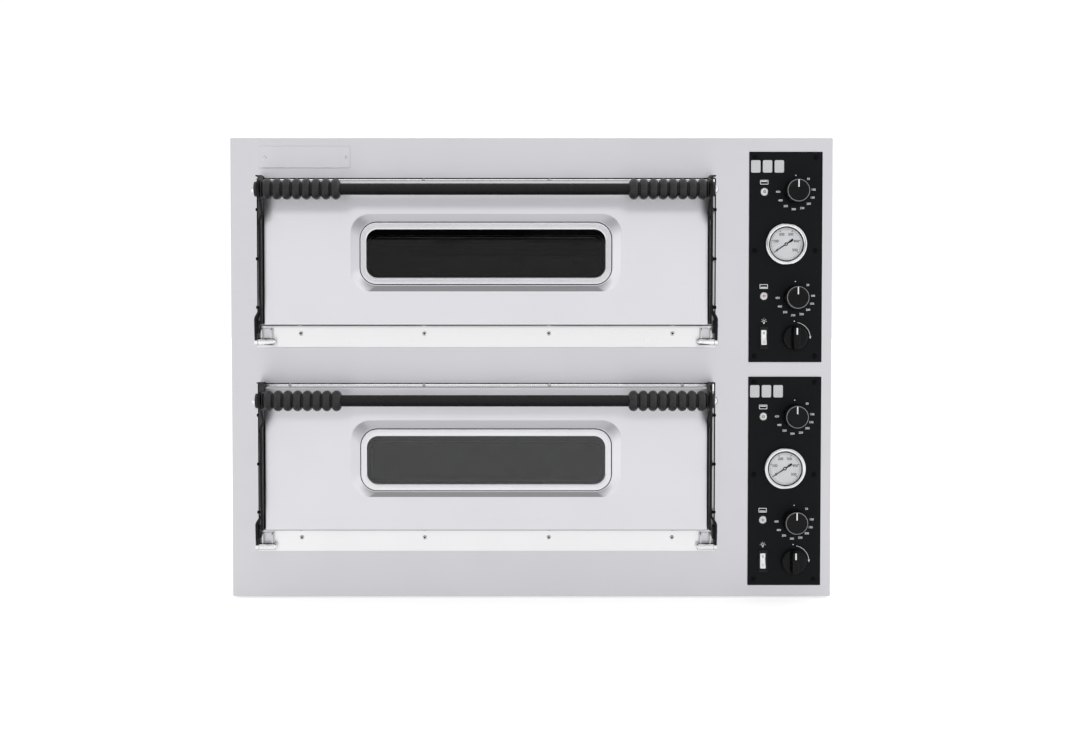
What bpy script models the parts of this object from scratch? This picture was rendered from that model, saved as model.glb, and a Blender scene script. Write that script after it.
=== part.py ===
"""Double-deck countertop pizza oven: sheet casing, two insulated baking chambers with
stone floors and heating rods, two drop-down windowed doors on lever arms, two control panels.

Metres, +Z up. The origin is under the middle of the oven, on the table. The doors face -Y.
A deck is modelled once, in its own frame, and built twice. That frame's origin lies on the
door's hinge axis: x = 0 at the middle of the door, +y to the back, z = 0 at the axis.
"Out" is a distance in front of the front panel's face.
"""

from math import cos, pi, radians, sin

import bmesh
import bpy
from mathutils import Matrix, Vector

# Casing
PANEL_W = 0.975
PANEL_BOTTOM = 0.003
PANEL_TOP = 0.748
FRONT_Y = -0.3705
BACK_Y = 0.4435
VENT_END_Y = 0.462
SHEET = 0.0015
GAP = 0.0003
FOLD = 0.020
LID_SHEET = 0.0012
LID_FOLD = 0.015
SIDE_X = 0.4857
SIDE_BOTTOM = 0.012
SIDE_TOP = 0.7445
SIDE_FOLD = 0.010
BASE_Z = 0.014
BASE_RIM = 0.016

# Decks
DECK_X = -0.0733
HINGE_OUT = 0.0125
HINGE_Z = {"lower": 0.087, "upper": 0.419}
OPENING_HALF = 0.372
OPENING_Z = (0.011, 0.265)
SILL_Z = (-0.0092, 0.0258)
SILL_THICK = 0.002

# Chamber
CHAMBER_HALF = 0.330
CHAMBER_TOP = 0.182
CHAMBER_FLOOR = 0.006
MOUTH_HALF = 0.328
MOUTH_Z = (0.039, 0.180)
FLANGE_HALF = 0.385
FLANGE_Z = (-0.003, 0.277)
FLANGE_OUT = -0.0023
LIP_OUT = -0.010
CHAMBER_BACK_OUT = -0.672
STONE_Z = (0.027, 0.041)
VENT_R = 0.020
VENT_Z = 0.140
ROD_R = 0.0035
ROD_Z = {"bottom": 0.0165, "top": 0.169}
ROD_RUNS = 6
ROD_PITCH = 0.095
ROD_HALF = 0.255
ROD_END_X = 0.352
ROD_FIRST_OUT = -0.095

# Door
DOOR_HALF = 0.3585
DOOR_Z = (0.0265, 0.2587)
DOOR_OUT = 0.018
RING_OUT = 0.0265
SURROUND = (0.2178, 0.0808, 0.2050, 0.030)
RING = (0.2014, 0.0925, 0.1914, 0.0265)
WINDOW = (0.1916, 0.1030, 0.1800, 0.018)
PLUG_OUT = -0.0093
CORNER_STEPS = 3

# Handle
BAR_OUT = 0.075
BAR_Z = 0.2398
BAR_R = 0.0091
BAR_HALF = 0.3511
STUD_R = 0.004
GRIP_IN = 0.2258
GRIP_END = 0.3498
GRIP_R = 0.0165
GRIP_VALLEY_R = 0.0132
GRIP_RIBS = 8
LEVER_THICK = 0.004
LEVER_HUB_R = 0.0155
LEVER_TOP = 0.2668
LEVER_X = 0.3588
LEVER_FOOT_STEP = 0.0102
LEVER_FOOT_BEND = (0.035, 0.057)
LEVER_ARM_STEP = 0.0072
LEVER_ARM_BEND = (0.037, 0.052)

# Hinge
KNUCKLE_R = 0.006
KNUCKLE_SPAN = (0.3405, 0.3680)
EYE_SPAN = (0.3683, 0.3740)
PIN_R = 0.003
PIN_END = 0.3745

# Control panels
CONTROL_X = 0.4115
CONTROL_Z = {"lower": 0.1919, "upper": 0.55585}
CONTROL_HALF = (0.0592, 0.1701)
CONTROL_OUT = (0.0003, 0.0023)
THERMOSTATS = {"top": (0.0160, 0.1059), "bottom": (0.0160, -0.0656)}
LAMPS = {"top": (-0.0350, 0.1055), "bottom": (-0.0350, -0.0630)}
SELECTOR = (0.0155, -0.1305)
GAUGE = (0.0001, 0.0209)
ROCKER = (-0.0347, -0.1305)
KNOB_R = 0.020
GAUGE_R = 0.034
NEEDLE_REST = radians(236)
NEEDLE_TIP = 0.0230
NEEDLE_TAIL = 0.0135
NEEDLE_HUB_R = 0.0030
NEEDLE_FRONT = 0.0068
NEEDLE_THICK = 0.0009
ROCKER_TILT = radians(7)

# Vent slots in the right side, one group for each control panel
SLOT_SIZE = (0.070, 0.004)
SLOT_Y = -0.265
SLOT_PITCH = 0.014
SLOT_COUNT = 7

FOOT_XY = (0.420, 0.310, 0.390)
FOOT_R = 0.020
GLAND_XZ = (0.400, 0.075)

MATERIALS = {
    "stainless_front": ((0.62, 0.62, 0.64), 0.30, 1.0),
    "stainless_casing": ((0.55, 0.55, 0.56), 0.38, 1.0),
    "stainless_chamber": ((0.42, 0.41, 0.40), 0.42, 1.0),
    "black_steel": ((0.018, 0.018, 0.020), 0.40, 0.0),
    "grip_black": ((0.022, 0.022, 0.024), 0.45, 0.0),
    "knob_black": ((0.015, 0.015, 0.017), 0.35, 0.0),
    "control_black": ((0.020, 0.021, 0.024), 0.42, 0.0),
    "door_glass": ((0.05, 0.05, 0.055), 0.05, 0.0),
    "stone": ((0.62, 0.55, 0.45), 0.85, 0.0),
    "wool": ((0.72, 0.66, 0.48), 0.95, 0.0),
    "heating_rod": ((0.16, 0.15, 0.15), 0.45, 1.0),
    "gauge_chrome": ((0.75, 0.75, 0.77), 0.15, 1.0),
    "needle_black": ((0.02, 0.02, 0.02), 0.50, 0.0),
    "rocker_white": ((0.80, 0.80, 0.78), 0.30, 0.0),
    "lamp_lens": ((0.85, 0.84, 0.80), 0.15, 0.0),
    "foot_rubber": ((0.03, 0.03, 0.03), 0.70, 0.0),
    "gland_plastic": ((0.10, 0.10, 0.11), 0.50, 0.0),
}


def clear_scene():
    for obj in list(bpy.data.objects):
        bpy.data.objects.remove(obj)


def collection(name, shown=True):
    made = bpy.data.collections.new(name)
    bpy.context.scene.collection.children.link(made)
    made.hide_render = not shown
    return made


def material(name):
    found = bpy.data.materials.get(name)
    if found:
        return found
    colour, roughness, metallic = MATERIALS[name]
    made = bpy.data.materials.new(name)
    made.use_nodes = True
    shader = made.node_tree.nodes["Principled BSDF"]
    shader.inputs["Base Color"].default_value = (*colour, 1)
    shader.inputs["Roughness"].default_value = roughness
    shader.inputs["Metallic"].default_value = metallic
    return made


def out(distance):
    """Deck y of a point this far in front of the front panel's face."""
    return HINGE_OUT - distance


def place(name, mesh, slot, parent=None, at=(0, 0, 0)):
    obj = bpy.data.objects.new(name, mesh)
    obj.data.materials.append(material(slot))
    obj.location = at
    obj.parent = parent
    PARTS.objects.link(obj)
    return obj


def empty(name, at, parent=None):
    obj = bpy.data.objects.new(name, None)
    obj.location = at
    obj.parent = parent
    PARTS.objects.link(obj)
    return obj


def to_mesh(name, bm):
    bmesh.ops.recalc_face_normals(bm, faces=bm.faces)
    mesh = bpy.data.meshes.new(name)
    bm.to_mesh(mesh)
    bm.free()
    return mesh


def add_box(bm, low, high):
    low, high = Vector(low), Vector(high)
    made = bmesh.ops.create_cube(bm, size=1)
    bmesh.ops.scale(bm, vec=high - low, verts=made["verts"])
    bmesh.ops.translate(bm, vec=(low + high) / 2, verts=made["verts"])


def add_rod(bm, radius, start, end, sides=16):
    start, end = Vector(start), Vector(end)
    turn = (end - start).to_track_quat("Z", "Y").to_matrix().to_4x4()
    bmesh.ops.create_cone(
        bm, cap_ends=True, segments=sides, radius1=radius, radius2=radius,
        depth=(end - start).length, matrix=Matrix.Translation((start + end) / 2) @ turn,
    )


def box_mesh(name, *boxes):
    bm = bmesh.new()
    for low, high in boxes:
        add_box(bm, low, high)
    return to_mesh(name, bm)


def rod_mesh(name, *rods):
    bm = bmesh.new()
    for rod in rods:
        add_rod(bm, *rod)
    return to_mesh(name, bm)


def combine(obj, operation, mesh):
    """A Boolean with a hidden tool that shares the object's parent and place."""
    tool = bpy.data.objects.new(mesh.name, mesh)
    tool.parent = obj.parent
    tool.location = obj.location
    tool.hide_render = True
    tool.display_type = "WIRE"
    CUTTERS.objects.link(tool)
    modifier = obj.modifiers.new(mesh.name, "BOOLEAN")
    modifier.operation = operation
    modifier.solver = "EXACT"
    modifier.object = tool


def cut(obj, mesh):
    combine(obj, "DIFFERENCE", mesh)


def join(obj, mesh):
    combine(obj, "UNION", mesh)


def turned(name, profile, steps, slot, parent=None, at=(0, 0, 0), facing="front", closed=False):
    """A turned shape. The profile is (radius, height) from top to bottom, and its height
    axis points to the front of the oven, to its right side, or up."""
    bm = bmesh.new()
    verts = [bm.verts.new((radius, 0, height)) for radius, height in profile]
    for a, b in zip(verts, verts[1:]):
        bm.edges.new((a, b))
    if closed:
        bm.edges.new((verts[-1], verts[0]))
    mesh = bpy.data.meshes.new(name)
    bm.to_mesh(mesh)
    bm.free()
    obj = place(name, mesh, slot, parent, at)
    screw = obj.modifiers.new("turn", "SCREW")
    screw.steps = steps
    screw.render_steps = steps
    screw.use_merge_vertices = True
    screw.merge_threshold = 0.00001
    obj.rotation_euler = {"front": (pi / 2, 0, 0), "right": (0, pi / 2, 0), "up": (0, 0, 0)}[facing]
    return obj


def rounded_loop(shape, y, centre_x=0.0):
    """Points round a rectangle with round corners, in the plane at y: half width, bottom,
    top and corner radius."""
    half, bottom, top, radius = shape
    corners = (
        (half - radius, bottom + radius, -90),
        (half - radius, top - radius, 0),
        (radius - half, top - radius, 90),
        (radius - half, bottom + radius, 180),
    )
    points = []
    for x, z, start in corners:
        for step in range(CORNER_STEPS + 1):
            angle = radians(start + 90 * step / CORNER_STEPS)
            points.append((centre_x + x + radius * cos(angle), y, z + radius * sin(angle)))
    return points


def shell(name, loops, thickness, slot, parent, capped=False):
    """Sheet pressed through a row of loops, thickened away from the side that it shows."""
    bm = bmesh.new()
    rings = [[bm.verts.new(point) for point in loop] for loop in loops]
    for near, far in zip(rings, rings[1:]):
        for i in range(len(near)):
            j = (i + 1) % len(near)
            bm.faces.new((near[i], near[j], far[j], far[i]))
    if capped:
        bm.faces.new(rings[-1])
    mesh = bpy.data.meshes.new(name)
    bm.to_mesh(mesh)
    bm.free()
    obj = place(name, mesh, slot, parent)
    solid = obj.modifiers.new("sheet", "SOLIDIFY")
    solid.thickness = thickness
    solid.offset = -1
    solid.use_even_offset = True
    solid.use_quality_normals = True
    return obj


# Casing


def front_panel():
    half = PANEL_W / 2
    back = FRONT_Y + FOLD
    panel = place(
        "front_panel",
        box_mesh("front_sheet", ((-half, FRONT_Y, PANEL_BOTTOM), (half, back, PANEL_TOP))),
        "stainless_front",
    )
    inside = (
        (SHEET - half, FRONT_Y + SHEET, PANEL_BOTTOM + SHEET),
        (half - SHEET, back + FOLD, PANEL_TOP - SHEET),
    )
    cut(panel, box_mesh("front_hollow", inside))
    holes = []
    for hinge_z in HINGE_Z.values():
        low, high = (hinge_z + z for z in OPENING_Z)
        holes.append((
            (DECK_X - OPENING_HALF, FRONT_Y - FOLD, low),
            (DECK_X + OPENING_HALF, FRONT_Y + FOLD / 2, high),
        ))
    for middle in CONTROL_Z.values():
        wide, tall = (half_side - 0.008 for half_side in CONTROL_HALF)
        holes.append((
            (CONTROL_X - wide, FRONT_Y - FOLD, middle - tall),
            (CONTROL_X + wide, FRONT_Y + FOLD / 2, middle + tall),
        ))
    cut(panel, box_mesh("front_holes", *holes))


def side_panel(name, side):
    front = FRONT_Y + FOLD + GAP
    rear = BACK_Y - 2 * SHEET - 2 * GAP
    flat, fold = SIDE_X - SHEET, SIDE_X - SIDE_FOLD
    overlap = 0.0005
    root = flat + overlap
    boxes = (
        ((side * flat, front, SIDE_BOTTOM), (side * SIDE_X, rear, SIDE_TOP)),
        ((side * fold, front, SIDE_TOP - SHEET), (side * root, rear, SIDE_TOP)),
        ((side * fold, front, SIDE_BOTTOM + 0.03), (side * root, front + SHEET, SIDE_TOP - overlap)),
    )
    ordered = [
        (tuple(map(min, low, high)), tuple(map(max, low, high))) for low, high in boxes
    ]
    panel = place(name, box_mesh(name + "_sheet", ordered[0]), "stainless_casing")
    join(panel, box_mesh(name + "_top_fold", ordered[1]))
    join(panel, box_mesh(name + "_front_fold", ordered[2]))
    return panel


def vent_slots(panel):
    slots = []
    long, tall = SLOT_SIZE
    for middle in CONTROL_Z.values():
        for row in range(SLOT_COUNT):
            z = middle + (row - (SLOT_COUNT - 1) / 2) * SLOT_PITCH
            slots.append((
                (SIDE_X - FOLD, SLOT_Y - long / 2, z - tall / 2),
                (SIDE_X + FOLD, SLOT_Y + long / 2, z + tall / 2),
            ))
    cut(panel, box_mesh("side_slots", *slots))


def top_cover():
    half = SIDE_X + GAP + LID_SHEET
    front = FRONT_Y + FOLD + GAP
    top = PANEL_TOP - GAP
    cover = place(
        "top_cover",
        box_mesh("lid_block", ((-half, front, top - LID_FOLD), (half, BACK_Y, top))),
        "stainless_casing",
    )
    hollow = (
        (LID_SHEET - half, front - FOLD, top - LID_FOLD - FOLD),
        (half - LID_SHEET, BACK_Y - SHEET, top - SHEET),
    )
    cut(cover, box_mesh("lid_hollow", hollow))


def rear_panel():
    outer = BACK_Y - SHEET - GAP
    top = PANEL_TOP - GAP - SHEET - GAP
    panel = place(
        "rear_panel",
        box_mesh("rear_sheet", ((-SIDE_X, outer - SHEET, SIDE_BOTTOM), (SIDE_X, outer, top))),
        "stainless_casing",
    )
    holes = [
        (VENT_R + 0.001, (DECK_X, outer - FOLD, z + VENT_Z), (DECK_X, outer + FOLD, z + VENT_Z), 20)
        for z in HINGE_Z.values()
    ]
    gland_x, gland_z = GLAND_XZ
    holes.append((0.0085, (gland_x, outer - FOLD, gland_z), (gland_x, outer + FOLD, gland_z)))
    cut(panel, rod_mesh("rear_holes", *holes))


def base_pan():
    half = SIDE_X - SHEET - GAP
    front = FRONT_Y + SHEET + GAP
    rear = BACK_Y - 2 * SHEET - 3 * GAP
    pan = place(
        "base_pan",
        box_mesh("base_block", ((-half, front, BASE_Z), (half, rear, BASE_Z + BASE_RIM))),
        "stainless_casing",
    )
    hollow = (
        (SHEET - half, front + SHEET, BASE_Z + SHEET),
        (half - SHEET, rear - SHEET, BASE_Z + 2 * BASE_RIM),
    )
    cut(pan, box_mesh("base_hollow", hollow))
    holes = [
        (0.0046, (x, y, BASE_Z - FOLD), (x, y, BASE_Z + FOLD), 12) for _, x, y in feet_places()
    ]
    cut(pan, rod_mesh("base_holes", *holes))


def feet_places():
    wide, front, rear = FOOT_XY
    return (
        ("front_left", -wide, -front),
        ("front_right", wide, -front),
        ("rear_left", -wide, rear),
        ("rear_right", wide, rear),
    )


def feet():
    top = BASE_Z - GAP
    profile = (
        (0, 0.024), (STUD_R, 0.024), (STUD_R, top), (0.017, top),
        (FOOT_R, top - 0.003), (FOOT_R, 0.002), (FOOT_R - 0.002, 0), (0, 0),
    )
    for corner, x, y in feet_places():
        turned("foot_" + corner, profile, 20, "foot_rubber", at=(x, y, 0), facing="up")


def insulation():
    """Mineral wool packed round both chambers, behind their flanges."""
    front = FRONT_Y - FLANGE_OUT + SHEET + GAP
    wool = place(
        "insulation",
        box_mesh("wool_block", ((-0.472, front, 0.032), (0.322, 0.436, 0.7415))),
        "wool",
    )
    hollows, vents, terminals = [], [], []
    around = SHEET + 2 * GAP
    for hinge_z in HINGE_Z.values():
        hollows.append((
            (DECK_X - CHAMBER_HALF - around, front - FOLD, hinge_z + CHAMBER_FLOOR - around),
            (DECK_X + CHAMBER_HALF + around, FRONT_Y - CHAMBER_BACK_OUT + around,
             hinge_z + CHAMBER_TOP + around),
        ))
        vent_z = hinge_z + VENT_Z
        vents.append((VENT_R + 0.0006, (DECK_X, 0.25, vent_z), (DECK_X, 0.50, vent_z), 20))
        for rod_z in ROD_Z.values():
            for rod_out in (ROD_FIRST_OUT, ROD_FIRST_OUT - ROD_PITCH * (ROD_RUNS - 1)):
                y, z = FRONT_Y - rod_out, hinge_z + rod_z
                terminals.append((0.0045, (0.20, y, z), (0.40, y, z), 8))
    cut(wool, box_mesh("wool_hollows", *hollows))
    cut(wool, rod_mesh("wool_vents", *vents))
    cut(wool, rod_mesh("wool_terminals", *terminals))


def cable_gland():
    """Screwed gland in the rear panel, with an open bore."""
    x, z = GLAND_XZ
    outer = BACK_Y - SHEET - GAP
    profile = (
        (0.0050, 0), (0.0095, 0), (0.0105, -0.003), (0.0105, -0.009),
        (0.0125, -0.010), (0.0125, outer - VENT_END_Y + GAP + 0.0005),
        (0.0080, outer - VENT_END_Y + GAP + 0.0005), (0.0080, -0.033), (0.0050, -0.033),
    )
    gland = turned(
        "cable_gland", profile, 16, "gland_plastic", at=(x, VENT_END_Y - 0.0005, z), closed=True
    )
    gland.rotation_euler = (-pi / 2, 0, 0)


# One deck


def chamber(prefix, deck):
    flange = rounded_loop((FLANGE_HALF, *FLANGE_Z, 0.002), out(FLANGE_OUT))
    mouth = (MOUTH_HALF, *MOUTH_Z, 0.003)
    room = (CHAMBER_HALF, CHAMBER_FLOOR, CHAMBER_TOP, 0.003)
    loops = [
        flange,
        rounded_loop(mouth, out(FLANGE_OUT)),
        rounded_loop(mouth, out(LIP_OUT)),
        rounded_loop(room, out(LIP_OUT)),
        rounded_loop(room, out(CHAMBER_BACK_OUT)),
    ]
    liner = shell(prefix + "_chamber", loops, SHEET, "stainless_chamber", deck, capped=True)
    back = out(CHAMBER_BACK_OUT)
    end = VENT_END_Y - FRONT_Y + HINGE_OUT
    vent = (VENT_R, (0, back + 0.0005, VENT_Z), (0, end, VENT_Z), 20)
    join(liner, rod_mesh(prefix + "_vent_pipe", vent))
    bore = (VENT_R - SHEET, (0, back - 0.01, VENT_Z), (0, end + 0.01, VENT_Z), 20)
    cut(liner, rod_mesh(prefix + "_vent_bore", bore))
    ledge_front, ledge_rear = out(LIP_OUT) + 0.002, back - 0.002
    ledges = [
        ((min(side * 0.315, side * 0.3308), ledge_front, STONE_Z[0] - 0.0023),
         (max(side * 0.315, side * 0.3308), ledge_rear, STONE_Z[0] - GAP))
        for side in (-1, 1)
    ]
    join(liner, box_mesh(prefix + "_ledges", *ledges))
    terminals = []
    for rod_z in ROD_Z.values():
        for rod_out in (ROD_FIRST_OUT, ROD_FIRST_OUT - ROD_PITCH * (ROD_RUNS - 1)):
            y = out(rod_out)
            terminals.append((0.0042, (0.30, y, rod_z), (0.36, y, rod_z), 8))
    cut(liner, rod_mesh(prefix + "_terminal_holes", *terminals))


def stone(prefix, deck):
    low, high = STONE_Z
    mesh = box_mesh(
        prefix + "_stone",
        ((-0.3270, out(LIP_OUT - SHEET - 0.001), low), (0.3270, out(CHAMBER_BACK_OUT + 0.004), high)),
    )
    slab = place(prefix + "_stone", mesh, "stone", deck)
    bevel = slab.modifiers.new("edges", "BEVEL")
    bevel.width = 0.0015
    bevel.segments = 1


def heating_rods(prefix, level, deck):
    """One sheathed rod, bent to and fro across the chamber, with both ends out at the right."""
    points = [(ROD_END_X, out(ROD_FIRST_OUT))]
    for run in range(ROD_RUNS - 1):
        side = -1 if run % 2 == 0 else 1
        start = out(ROD_FIRST_OUT - run * ROD_PITCH)
        middle = start + ROD_PITCH / 2
        for step in range(5):
            angle = -pi / 2 + pi * step / 4
            points.append((
                side * (ROD_HALF + ROD_PITCH / 2 * cos(angle)),
                middle + ROD_PITCH / 2 * sin(angle),
            ))
    points.append((ROD_END_X, out(ROD_FIRST_OUT - ROD_PITCH * (ROD_RUNS - 1))))
    name = f"{prefix}_{level}_element"
    curve = bpy.data.curves.new(name, "CURVE")
    curve.dimensions = "3D"
    curve.bevel_depth = ROD_R
    curve.bevel_resolution = 1
    curve.use_fill_caps = True
    spline = curve.splines.new("POLY")
    spline.points.add(len(points) - 1)
    for point, (x, y) in zip(spline.points, points):
        point.co = (x, y, ROD_Z[level], 1)
    place(name, curve, "heating_rod", deck)


def sill_plate(prefix, deck):
    front = out(GAP + SILL_THICK)
    mesh = box_mesh(
        prefix + "_sill",
        ((-OPENING_HALF, front, SILL_Z[0]), (OPENING_HALF, out(GAP), SILL_Z[1])),
    )
    place(prefix + "_sill_plate", mesh, "stainless_front", deck)


def hinge_bracket(name, side, deck):
    """Two cheeks on a back plate, with the fixed knuckle and the pin that carries the door."""
    back = out(GAP + SILL_THICK + GAP)
    plate_front = back - 0.002

    def block(x_low, x_high, y_low, y_high, z_low, z_high):
        ends = sorted((side * x_low, side * x_high))
        return ((ends[0], y_low, z_low), (ends[1], y_high, z_high))

    bracket = place(
        name, box_mesh(name + "_plate", block(0.3455, 0.3650, plate_front, back, -0.0060, 0.0220)),
        "stainless_front", deck,
    )
    for number, x in enumerate((0.3466, 0.3619)):
        cheek = block(x, x + 0.002, -0.0015, back - 0.001, 0.0, 0.0215)
        join(bracket, box_mesh(f"{name}_cheek_{number}", cheek))
    knuckle = (KNUCKLE_R, (side * KNUCKLE_SPAN[0], 0, 0), (side * KNUCKLE_SPAN[1], 0, 0), 16)
    join(bracket, rod_mesh(name + "_knuckle", knuckle))
    pin = (PIN_R, (side * 0.350, 0, 0), (side * PIN_END, 0, 0), 12)
    join(bracket, rod_mesh(name + "_pin", pin))


# Door


def door_outer(prefix, door):
    front = out(DOOR_OUT)
    edge = (DOOR_HALF, *DOOR_Z, 0.003)
    inset = (DOOR_HALF - 0.0015, DOOR_Z[0] + 0.0015, DOOR_Z[1] - 0.0015, 0.003)
    loops = [
        rounded_loop(edge, out(0)),
        rounded_loop(edge, front + 0.0015),
        rounded_loop(inset, front),
        rounded_loop(SURROUND, front),
        rounded_loop(RING, out(RING_OUT)),
        rounded_loop(WINDOW, out(RING_OUT)),
        rounded_loop(WINDOW, out(RING_OUT - 0.003)),
    ]
    shell(prefix + "_door_outer", loops, SHEET, "stainless_front", door)


def door_glass(prefix, door):
    half, bottom, top, radius = WINDOW
    pane = (half + 0.006, bottom - 0.006, top + 0.006, radius + 0.004)
    front, thickness = out(RING_OUT - 0.0033), 0.004
    bm = bmesh.new()
    face = bm.faces.new([bm.verts.new(point) for point in rounded_loop(pane, front)])
    made = bmesh.ops.extrude_face_region(bm, geom=[face])
    moved = [part for part in made["geom"] if isinstance(part, bmesh.types.BMVert)]
    bmesh.ops.translate(bm, vec=(0, thickness, 0), verts=moved)
    place(prefix + "_door_glass", to_mesh(prefix + "_pane", bm), "door_glass", door)


def door_inner(prefix, door):
    """Inner pressing: flat back, a plug that enters the chamber's mouth, and a window tunnel."""
    half, bottom, top, radius = WINDOW
    tunnel = (half - 0.0015, bottom + 0.001, top - 0.010, radius - 0.003)
    plug_half, plug_low, plug_high = MOUTH_HALF - 0.004, MOUTH_Z[0] + 0.0025, MOUTH_Z[1] - 0.0040
    flat = out(-GAP - SHEET)
    loops = [
        rounded_loop(tunnel, out(RING_OUT - 0.0076)),
        rounded_loop(tunnel, out(PLUG_OUT)),
        rounded_loop((plug_half, plug_low, plug_high, 0.006), out(PLUG_OUT)),
        rounded_loop((plug_half + 0.0015, plug_low - 0.0015, plug_high + 0.0015, 0.006), flat),
        rounded_loop((DOOR_HALF - 0.0005, DOOR_Z[0] + 0.0005, DOOR_Z[1] - 0.0005, 0.003), flat),
    ]
    shell(prefix + "_door_inner", loops, SHEET, "stainless_chamber", door)


def between(value, start, end):
    """0 up to start, 1 from end on, and even in between."""
    return min(max((value - start) / (end - start), 0), 1)


def lever_shift(forward, z):
    """Sideways place of the lever's inner face: out at the hinge, in along the door, and a
    little further in where its arm reaches in front of the door."""
    at_hinge = 1 - between(z, *LEVER_FOOT_BEND)
    at_bar = between(forward, *LEVER_ARM_BEND)
    return LEVER_X + LEVER_FOOT_STEP * at_hinge - LEVER_ARM_STEP * at_bar


def lever_outline():
    """The lever seen from the side, as (out, z)."""
    foot = [
        (HINGE_OUT + 0.005 * cos(radians(angle)), 0.005 * sin(radians(angle)))
        for angle in range(180, 361, 45)
    ]
    shin = [(0.0205, 0.013), (0.0220, 0.035), (0.0350, 0.066), (0.0360, 0.190)]
    hub = [
        (BAR_OUT + LEVER_HUB_R * cos(radians(angle)), BAR_Z + LEVER_HUB_R * sin(radians(angle)))
        for angle in range(-110, 101, 21)
    ]
    back = [(0.0300, LEVER_TOP), (0.0020, LEVER_TOP), (0.0020, 0.058), (0.0045, 0.036)]
    return foot + shin + hub + back


def lever(name, side, door):
    """Plate cut from the outline, joggled along its height, with an eye on the hinge pin."""
    bm = bmesh.new()
    bm.faces.new([bm.verts.new((0, out(forward), z)) for forward, z in lever_outline()])
    bends = [((0, 0, z), (0, 0, 1)) for z in LEVER_FOOT_BEND]
    bends += [((0, out(forward), 0), (0, 1, 0)) for forward in LEVER_ARM_BEND]
    for point, normal in bends:
        bmesh.ops.bisect_plane(
            bm, geom=bm.verts[:] + bm.edges[:] + bm.faces[:], plane_co=point, plane_no=normal
        )
    made = bmesh.ops.extrude_face_region(bm, geom=bm.faces[:])
    moved = [part for part in made["geom"] if isinstance(part, bmesh.types.BMVert)]
    bmesh.ops.translate(bm, vec=(LEVER_THICK, 0, 0), verts=moved)
    for vert in bm.verts:
        vert.co.x = side * (vert.co.x + lever_shift(HINGE_OUT - vert.co.y, vert.co.z))
    plate = place(name, to_mesh(name + "_plate", bm), "black_steel", door)
    eye = (KNUCKLE_R, (side * EYE_SPAN[0], 0, 0), (side * EYE_SPAN[1], 0, 0), 16)
    join(plate, rod_mesh(name + "_eye", eye))
    holes = (
        (PIN_R + GAP, (side * 0.36, 0, 0), (side * 0.38, 0, 0), 12),
        (STUD_R + GAP, (side * 0.35, out(BAR_OUT), BAR_Z), (side * 0.37, out(BAR_OUT), BAR_Z), 12),
    )
    cut(plate, rod_mesh(name + "_holes", *holes))


def handle_bar(prefix, door):
    end = BAR_HALF + 0.0105
    profile = (
        (0, end), (STUD_R, end), (STUD_R, BAR_HALF), (BAR_R, BAR_HALF),
        (BAR_R, -BAR_HALF), (STUD_R, -BAR_HALF), (STUD_R, -end), (0, -end),
    )
    turned(prefix + "_handle_bar", profile, 16, "black_steel", door, (0, out(BAR_OUT), BAR_Z), "right")


def grip(name, side, door):
    """Ribbed sleeve on the bar's end, bored a little wider than the bar."""
    pitch = (GRIP_END - GRIP_IN) / GRIP_RIBS
    bore = BAR_R + 2 * GAP
    outer = [(GRIP_VALLEY_R, GRIP_END)]
    for rib in range(GRIP_RIBS):
        top = GRIP_END - rib * pitch
        outer.append((GRIP_R, top - pitch / 2))
        outer.append((GRIP_VALLEY_R, top - pitch))
    profile = [(bore, GRIP_END), *outer, (bore, GRIP_IN)]
    if side < 0:
        profile = [(radius, -height) for radius, height in reversed(profile)]
    turned(name, profile, 12, "grip_black", door, (0, out(BAR_OUT), BAR_Z), "right", closed=True)


# Control panels


def control_panel(prefix, panel):
    wide, tall = CONTROL_HALF
    near, far = CONTROL_OUT
    plate = place(
        prefix + "_control_panel",
        box_mesh(prefix + "_control_plate", ((-wide, -far, -tall), (wide, -near, tall))),
        "control_black", panel,
    )
    spots = [(0.0050, spot, 12) for spot in (*THERMOSTATS.values(), *LAMPS.values(), SELECTOR)]
    spots.append((0.0305, GAUGE, 24))
    holes = [
        (radius, (x, -0.01, z), (x, 0.01, z), sides) for radius, (x, z), sides in spots
    ]
    cut(plate, rod_mesh(prefix + "_control_holes", *holes))
    x, z = ROCKER
    slot = ((x - 0.0052, -0.01, z - 0.0135), (x + 0.0052, 0.01, z + 0.0135))
    cut(plate, box_mesh(prefix + "_rocker_slot", slot))


def thermostat_knob(prefix, level, panel):
    """Round knob with its spindle."""
    x, z = THERMOSTATS[level]
    profile = (
        (0, 0.0290), (0.0165, 0.0290), (0.0178, 0.0280), (0.0188, 0.0090),
        (KNOB_R, 0.0080), (KNOB_R, 0.0035), (0.0032, 0.0035), (0.0032, -0.0200), (0, -0.0200),
    )
    turned(f"{prefix}_{level}_thermostat_knob", profile, 20, "knob_black", panel, (x, 0, z))


def selector_knob(prefix, panel):
    """Base disc with a raised bar across it, and its spindle."""
    x, z = SELECTOR
    profile = (
        (0, 0.0120), (0.0185, 0.0120), (KNOB_R, 0.0105), (KNOB_R, 0.0035),
        (0.0032, 0.0035), (0.0032, -0.0200), (0, -0.0200),
    )
    knob = turned(prefix + "_selector_knob", profile, 20, "knob_black", panel, (x, 0, z))
    join(knob, box_mesh(prefix + "_selector_bar", ((-0.0045, -0.0240, -0.018), (0.0045, -0.0110, 0.018))))


def gauge(prefix, panel):
    x, z = GAUGE
    profile = (
        (0, 0.0055), (0.0275, 0.0055), (0.0285, 0.0100), (0.0310, 0.0105), (GAUGE_R, 0.0085),
        (GAUGE_R, 0.0026), (0.0300, 0.0026), (0.0300, -0.0250), (0, -0.0250),
    )
    turned(prefix + "_gauge", profile, 24, "gauge_chrome", panel, (x, 0, z))


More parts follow.
